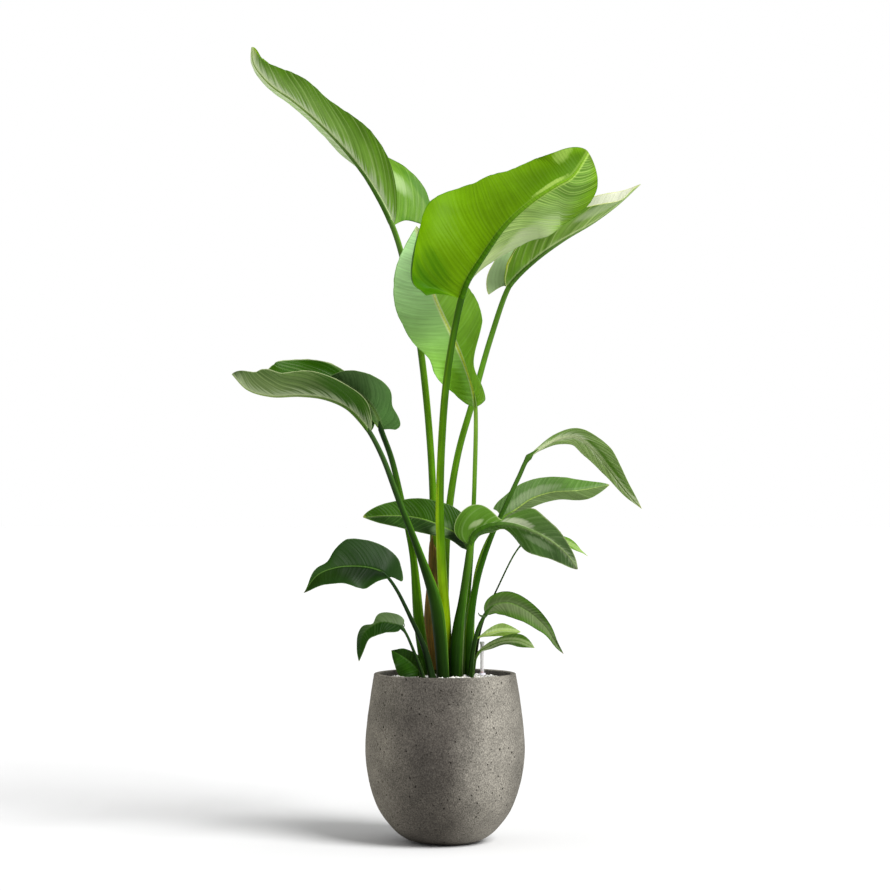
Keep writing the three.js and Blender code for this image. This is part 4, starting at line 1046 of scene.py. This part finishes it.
def grains():
    """Loose granules, each a dented pebble half sunk in the bed, none where a stalk or the gauge stands."""
    rng = np.random.default_rng(SEED)
    ball = bmesh.new()
    bmesh.ops.create_icosphere(ball, subdivisions=2, radius=1)
    form = np.array([v.co for v in ball.verts])
    faces = np.array([[v.index for v in f.verts] for f in ball.faces])
    ball.free()
    feet = [(*GAUGE_AT, GAUGE_ROOM)]
    for leaf in LEAVES.values():
        x, y, _ = travel(leaf, 0, joint_of(leaf), 60)["point"][1]
        feet.append((x, y, leaf["thick"][0] / 2 + STALK_ROOM))
    points = []
    marks = []
    reach = int(FILL_RADIUS / GRAIN_PITCH) + 2
    for i in range(-reach, reach + 1):
        for j in range(-reach, reach + 1):
            x = (i + 0.5 * (j % 2)) * GRAIN_PITCH + rng.uniform(-GRAIN_SHIFT, GRAIN_SHIFT)
            y = j * GRAIN_PITCH * 0.87 + rng.uniform(-GRAIN_SHIFT, GRAIN_SHIFT)
            size = rng.uniform(*GRAIN_SIZE)
            away = math.hypot(x, y)
            if away + size > FILL_RADIUS - WALL_ROOM:
                continue
            if any(math.hypot(x - fx, y - fy) < room + size for fx, fy, room in feet):
                continue
            z = FILL_EDGE + FILL_DOME * (1 - (away / FILL_RADIUS) ** 2) + rng.uniform(-0.6, 1.4)
            dents = sum(
                rng.uniform(0.06, 0.16) * np.sin(form @ rng.normal(0, 2.2, 3) + rng.uniform(0, 6.3))
                for _ in range(3)
            )
            grain = form * size * rng.uniform(0.72, 1.12, 3) * (1 + dents)[:, None]
            angle = rng.uniform(0, 2 * np.pi)
            cosine, sine = math.cos(angle), math.sin(angle)
            spin = np.array([[cosine, -sine, 0], [sine, cosine, 0], [0, 0, 1]])
            points.append(grain @ spin.T + (x, y, z))
            marks.append(np.broadcast_to(rng.uniform(size=3), form.shape))
    every = np.concatenate([faces + k * len(form) for k in range(len(points))])
    piece("loose_grains", np.concatenate(points), every.tolist(), grain_paint(), "granules",
          attributes={"mark": np.concatenate(marks)})


def plastic(name, low, high, roughness):
    """Moulded plastic with a little dust and unevenness."""
    p = Paint(name, roughness, 0.5)
    dust = p.noise(p.place(), 180, 3)
    colour = p.mix(p.ramp(dust, 0.35, 0.7), tone(*low), tone(*high))
    uneven = p.ramp(dust, 0.3, 0.7, roughness - 0.06, roughness + 0.1)
    return p.finish(colour, uneven, p.bump(dust, 0.0002, 0.4))


def pin(name, profile, material, slot, node, hollow=False):
    """A turned piece of the gauge in its place, closed at its ends or, if hollow, along its inside."""
    rows = len(profile)
    last = (rows - 1) * PIN_SIDES
    if hollow:
        faces = grid_faces(rows, PIN_SIDES, around=True)
        for i in range(PIN_SIDES):
            after = (i + 1) % PIN_SIDES
            faces.append([last + i, last + after, after, i])
    else:
        faces = tube_faces(rows, PIN_SIDES)
    piece(name, turned(profile, PIN_SIDES) + (*GAUGE_AT, 0), faces, material, slot, node, sharp=40)


def gauge():
    """A clear tube in a white cone, with a cap and a red float."""
    clear = plastic("clear_tube_plastic", (250, 246, 247), (255, 254, 254), 0.16)
    clear.node_tree.nodes["Principled BSDF"].inputs["Transmission Weight"].default_value = 0.2
    clear.node_tree.nodes["Principled BSDF"].inputs["Alpha"].default_value = 0.5
    white = plastic("white_gauge_plastic", (214, 208, 226), (236, 232, 242), 0.42)
    cap = plastic("white_cap_plastic", (226, 226, 226), (244, 244, 243), 0.38)
    red = plastic("red_gauge_plastic", (186, 34, 26), (212, 48, 36), 0.4)
    pin("gauge_clear_tube", [
        (3.4, 306), (4.4, 306), (4.4, 340), (4.4, 380), (4.4, 411.6), (4.2, 412), (3.6, 412), (3.4, 411.6),
        (3.4, 380), (3.4, 340),
    ], clear, "clear_tube", "gauge_tube", hollow=True)
    pin("gauge_cone", [
        (4.8, 339.5), (12.1, 339.5), (12.5, 339.9), (12.5, 342.4), (12.2, 343.2), (11.2, 344.4), (8.6, 347.8),
        (6.5, 350.5), (6.0, 351), (5.2, 351), (4.8, 350.6), (4.8, 345),
    ], white, "gauge_white", "gauge_collar", hollow=True)
    pin("gauge_top_cap", [
        (0.4, 405), (2.7, 405), (3, 405.4), (3, 412.35), (4.8, 412.35), (5.2, 412.8), (5.2, 416.4),
        (4.9, 417.1), (4.2, 417.5), (0.4, 417.5),
    ], cap, "gauge_white", "gauge_cap")
    pin("gauge_red_float", [
        (0.4, 306), (2.6, 306), (2.9, 306.4), (2.9, 330), (2.9, 354.2), (2.5, 354.8), (1.8, 355), (0.4, 355),
    ], red, "gauge_red", "gauge_float")


# The dry sheath round the tallest stalk: share of the stalk, mm off the stalk and half angle in degrees
SHEATH_ROWS = [
    (0.03, 0.6, 115), (0.06, 1.2, 118), (0.1, 2.6, 122), (0.14, 3.2, 120), (0.18, 2.4, 112),
    (0.22, 1.6, 104), (0.26, 1.2, 92), (0.29, 1.1, 66), (0.32, 1.1, 22),
]

# The way the sheath faces, its thickness in mm, its rows and columns, and the steps that follow the stalk
SHEATH_TOWARDS = (-0.45, -1, 0)
SHEATH_THICK = 0.9
SHEATH_GRID = (110, 64)
SHEATH_STOPS = 400


def sheath_paint():
    """Dry bark-like sheath: fibres, brown to red, paler at its thin edges."""
    p = Paint("dry_sheath_skin", 0.78, 0.25)
    lay = p.attribute("lay")
    rim, _, _ = p.split(p.attribute("mark"))
    fibres = p.noise(p.stretch(lay, 900, 14, 0, 2), 1, 4)
    patches = p.noise(p.stretch(lay, 60, 12, 0, 5), 1, 3)
    colour = p.mix(p.ramp(patches, 0.35, 0.65), tone(74, 66, 10), tone(108, 76, 16))
    colour = p.tint(colour, (140, 110, 40), p.ramp(fibres, 0.45, 0.75), 0.45)
    colour = p.gain(colour, fibres, 0.25)
    colour = p.tint(colour, (190, 148, 96), p.ramp(rim, 0.6, 1.0), 0.5)
    return p.finish(colour, p.ramp(fibres, 0.3, 0.7, 0.66, 0.88), p.bump(fibres, 0.0009, 0.8))


def sheath():
    """The dry sheath: a thin creased sheet that wraps the front of the tallest stalk, ragged at its top."""
    leaf = LEAVES["top_left"]
    path = travel(leaf, 0, joint_of(leaf), SHEATH_STOPS)
    known = np.array(SHEATH_ROWS, float)
    rows, columns = SHEATH_GRID
    v = np.linspace(-1, 1, columns)
    ragged = 0.012 * wander(v * 9, 31) + 0.006 * wander(v * 30, 32)
    top = known[-1, 0] - np.abs(v) ** 1.5 * 0.05 + ragged
    t = np.linspace(0, 1, rows)[:, None]
    share = np.clip(known[0, 0] + (top - known[0, 0]) * t, 0, known[-1, 0])
    off = np.interp(share, known[:, 0], known[:, 1])
    angle = np.interp(share, known[:, 0], known[:, 2]) * (1 + 0.05 * wander(share * 60, 33))
    angle = np.radians(angle * v)
    creases = 0.35 * np.sin(v * 19 + 2 * np.sin(share * 40)) + 0.2 * np.sin(v * 43 + share * 25)
    radius = thickness(leaf, share) / 2
    inner = radius + GAP + np.maximum(off + creases * np.minimum(1, off / 1.5), 0.15)
    stop = np.round(share * SHEATH_STOPS).astype(int)
    along = path["along"][stop]
    front = np.array(SHEATH_TOWARDS, float)
    front = unit(front - along * (along @ front)[..., None])
    outward = front * np.cos(angle)[..., None] + np.cross(along, front) * np.sin(angle)[..., None]
    edge = np.clip(np.abs(v) * 12 - 11, 0, 1)
    below = path["point"][stop] + outward * inner[..., None]
    above = path["point"][stop] + outward * (inner + SHEATH_THICK * (1 - 0.6 * edge))[..., None]
    lay = triples(radius * angle * MM, share * path["length"] * MM, 0)
    mark = triples(np.maximum(np.clip(1 - (1 - t) * 12, 0, 1), edge), 0, 0)
    points = np.stack([above, below]).reshape(-1, 3)
    attributes = {"lay": np.tile(lay, (2, 1)), "mark": np.tile(mark, (2, 1))}
    piece("dry_sheath_sheet", points, sheet_faces(rows, columns), sheath_paint(), "dry_sheath", "dry_sheath",
          attributes=attributes, sharp=60)


# The studio: the floor's half width in metres and its white, the surroundings' strengths everywhere, to the
# right, to the left and from above, and the key light, a sun whose wide disc, tilt and turn are in degrees
FLOOR_REACH = 60
FLOOR_WHITE = (0.73, 0.73, 0.73)
SKY_FRONT = 0.2
SKY_RIGHT = 1.2
SKY_LEFT = 0.65
SKY_ABOVE = 0.3
KEY_STRENGTH = 4.0
KEY_DISC = 30
KEY_TILT = 47
KEY_TURN = 48

# The camera's focal length and sensor in mm, its place in metres and its tilt from straight down in degrees
FOCAL_LENGTH = 95.74
SENSOR = 36
CAMERA_AT = (0, -5.0, 0.716)
CAMERA_TILT = 91.36


def floor():
    """A wide sheet of pale paper under the pot."""
    mesh = bpy.data.meshes.new("studio_floor")
    corners = [(FLOOR_REACH * x, FLOOR_REACH * y, 0) for x, y in ((-1, -1), (1, -1), (1, 1), (-1, 1))]
    mesh.from_pydata(corners, [], [(0, 1, 2, 3)])
    p = Paint("floor_paper", 0.9, 0.1)
    mesh.materials.append(p.finish(p.gain(FLOOR_WHITE, p.noise(p.place(), 3, 2), 0.004)))
    obj = link("studio_floor", mesh)


class Sky(Paint):
    """The surroundings' shader, made with the same nodes as a material."""

    def __init__(self, name):
        self.world = bpy.data.worlds.new(name)
        self.world.use_nodes = True
        self.tree = self.world.node_tree
        self.tree.nodes.clear()

    def background(self, strength):
        return self.fed(self.node("Background"), {"Color": (1, 1, 1, 1), "Strength": strength})


def studio_light():
    """White surroundings that light from above and both sides, and one broad soft light from the right."""
    sky = Sky("studio")
    across, _, height = sky.split(sky.node("TexCoord").outputs["Generated"])
    strength = sky.ramp(across, 0.3, 1, SKY_FRONT, SKY_RIGHT)
    strength = sky.plus(strength, sky.ramp(height, 0.1, 1, 0, SKY_ABOVE))
    strength = sky.plus(strength, sky.ramp(across, -0.3, -1, 0, SKY_LEFT))
    seen = sky.node("LightPath").outputs["Is Camera Ray"]
    shaders = {0: seen, 1: sky.background(strength), 2: sky.background(1.0)}
    blend = sky.fed(sky.node("MixShader"), shaders)
    sky.feed(sky.node("OutputWorld").inputs["Surface"], blend)
    bpy.context.scene.world = sky.world
    key = bpy.data.lights.new("soft_key", "SUN")
    key.energy = KEY_STRENGTH
    key.angle = math.radians(KEY_DISC)
    link("soft_key", key).rotation_euler = (math.radians(KEY_TILT), 0, math.radians(KEY_TURN))


def camera():
    """A long lens in the photograph's place, level with the lower leaves."""
    lens = bpy.data.cameras.new("view")
    lens.lens = FOCAL_LENGTH
    lens.sensor_width = SENSOR
    lens.clip_end = 200
    obj = link("view", lens)
    obj.location = CAMERA_AT
    obj.rotation_euler = (math.radians(CAMERA_TILT), 0, 0)
    bpy.context.scene.camera = obj


for number, (leaf_name, leaf) in enumerate(LEAVES.items()):
    seed = 11 * number + 40
    blade(leaf_name, leaf, seed)
    stem(leaf_name, leaf, seed)
for leaf_name, (thick, line) in STUBS.items():
    stub(leaf_name, thick, line)
sheath()
pot()
bed()
grains()
gauge()
floor()
studio_light()
camera()
bpy.context.scene.view_settings.view_transform = "Standard"
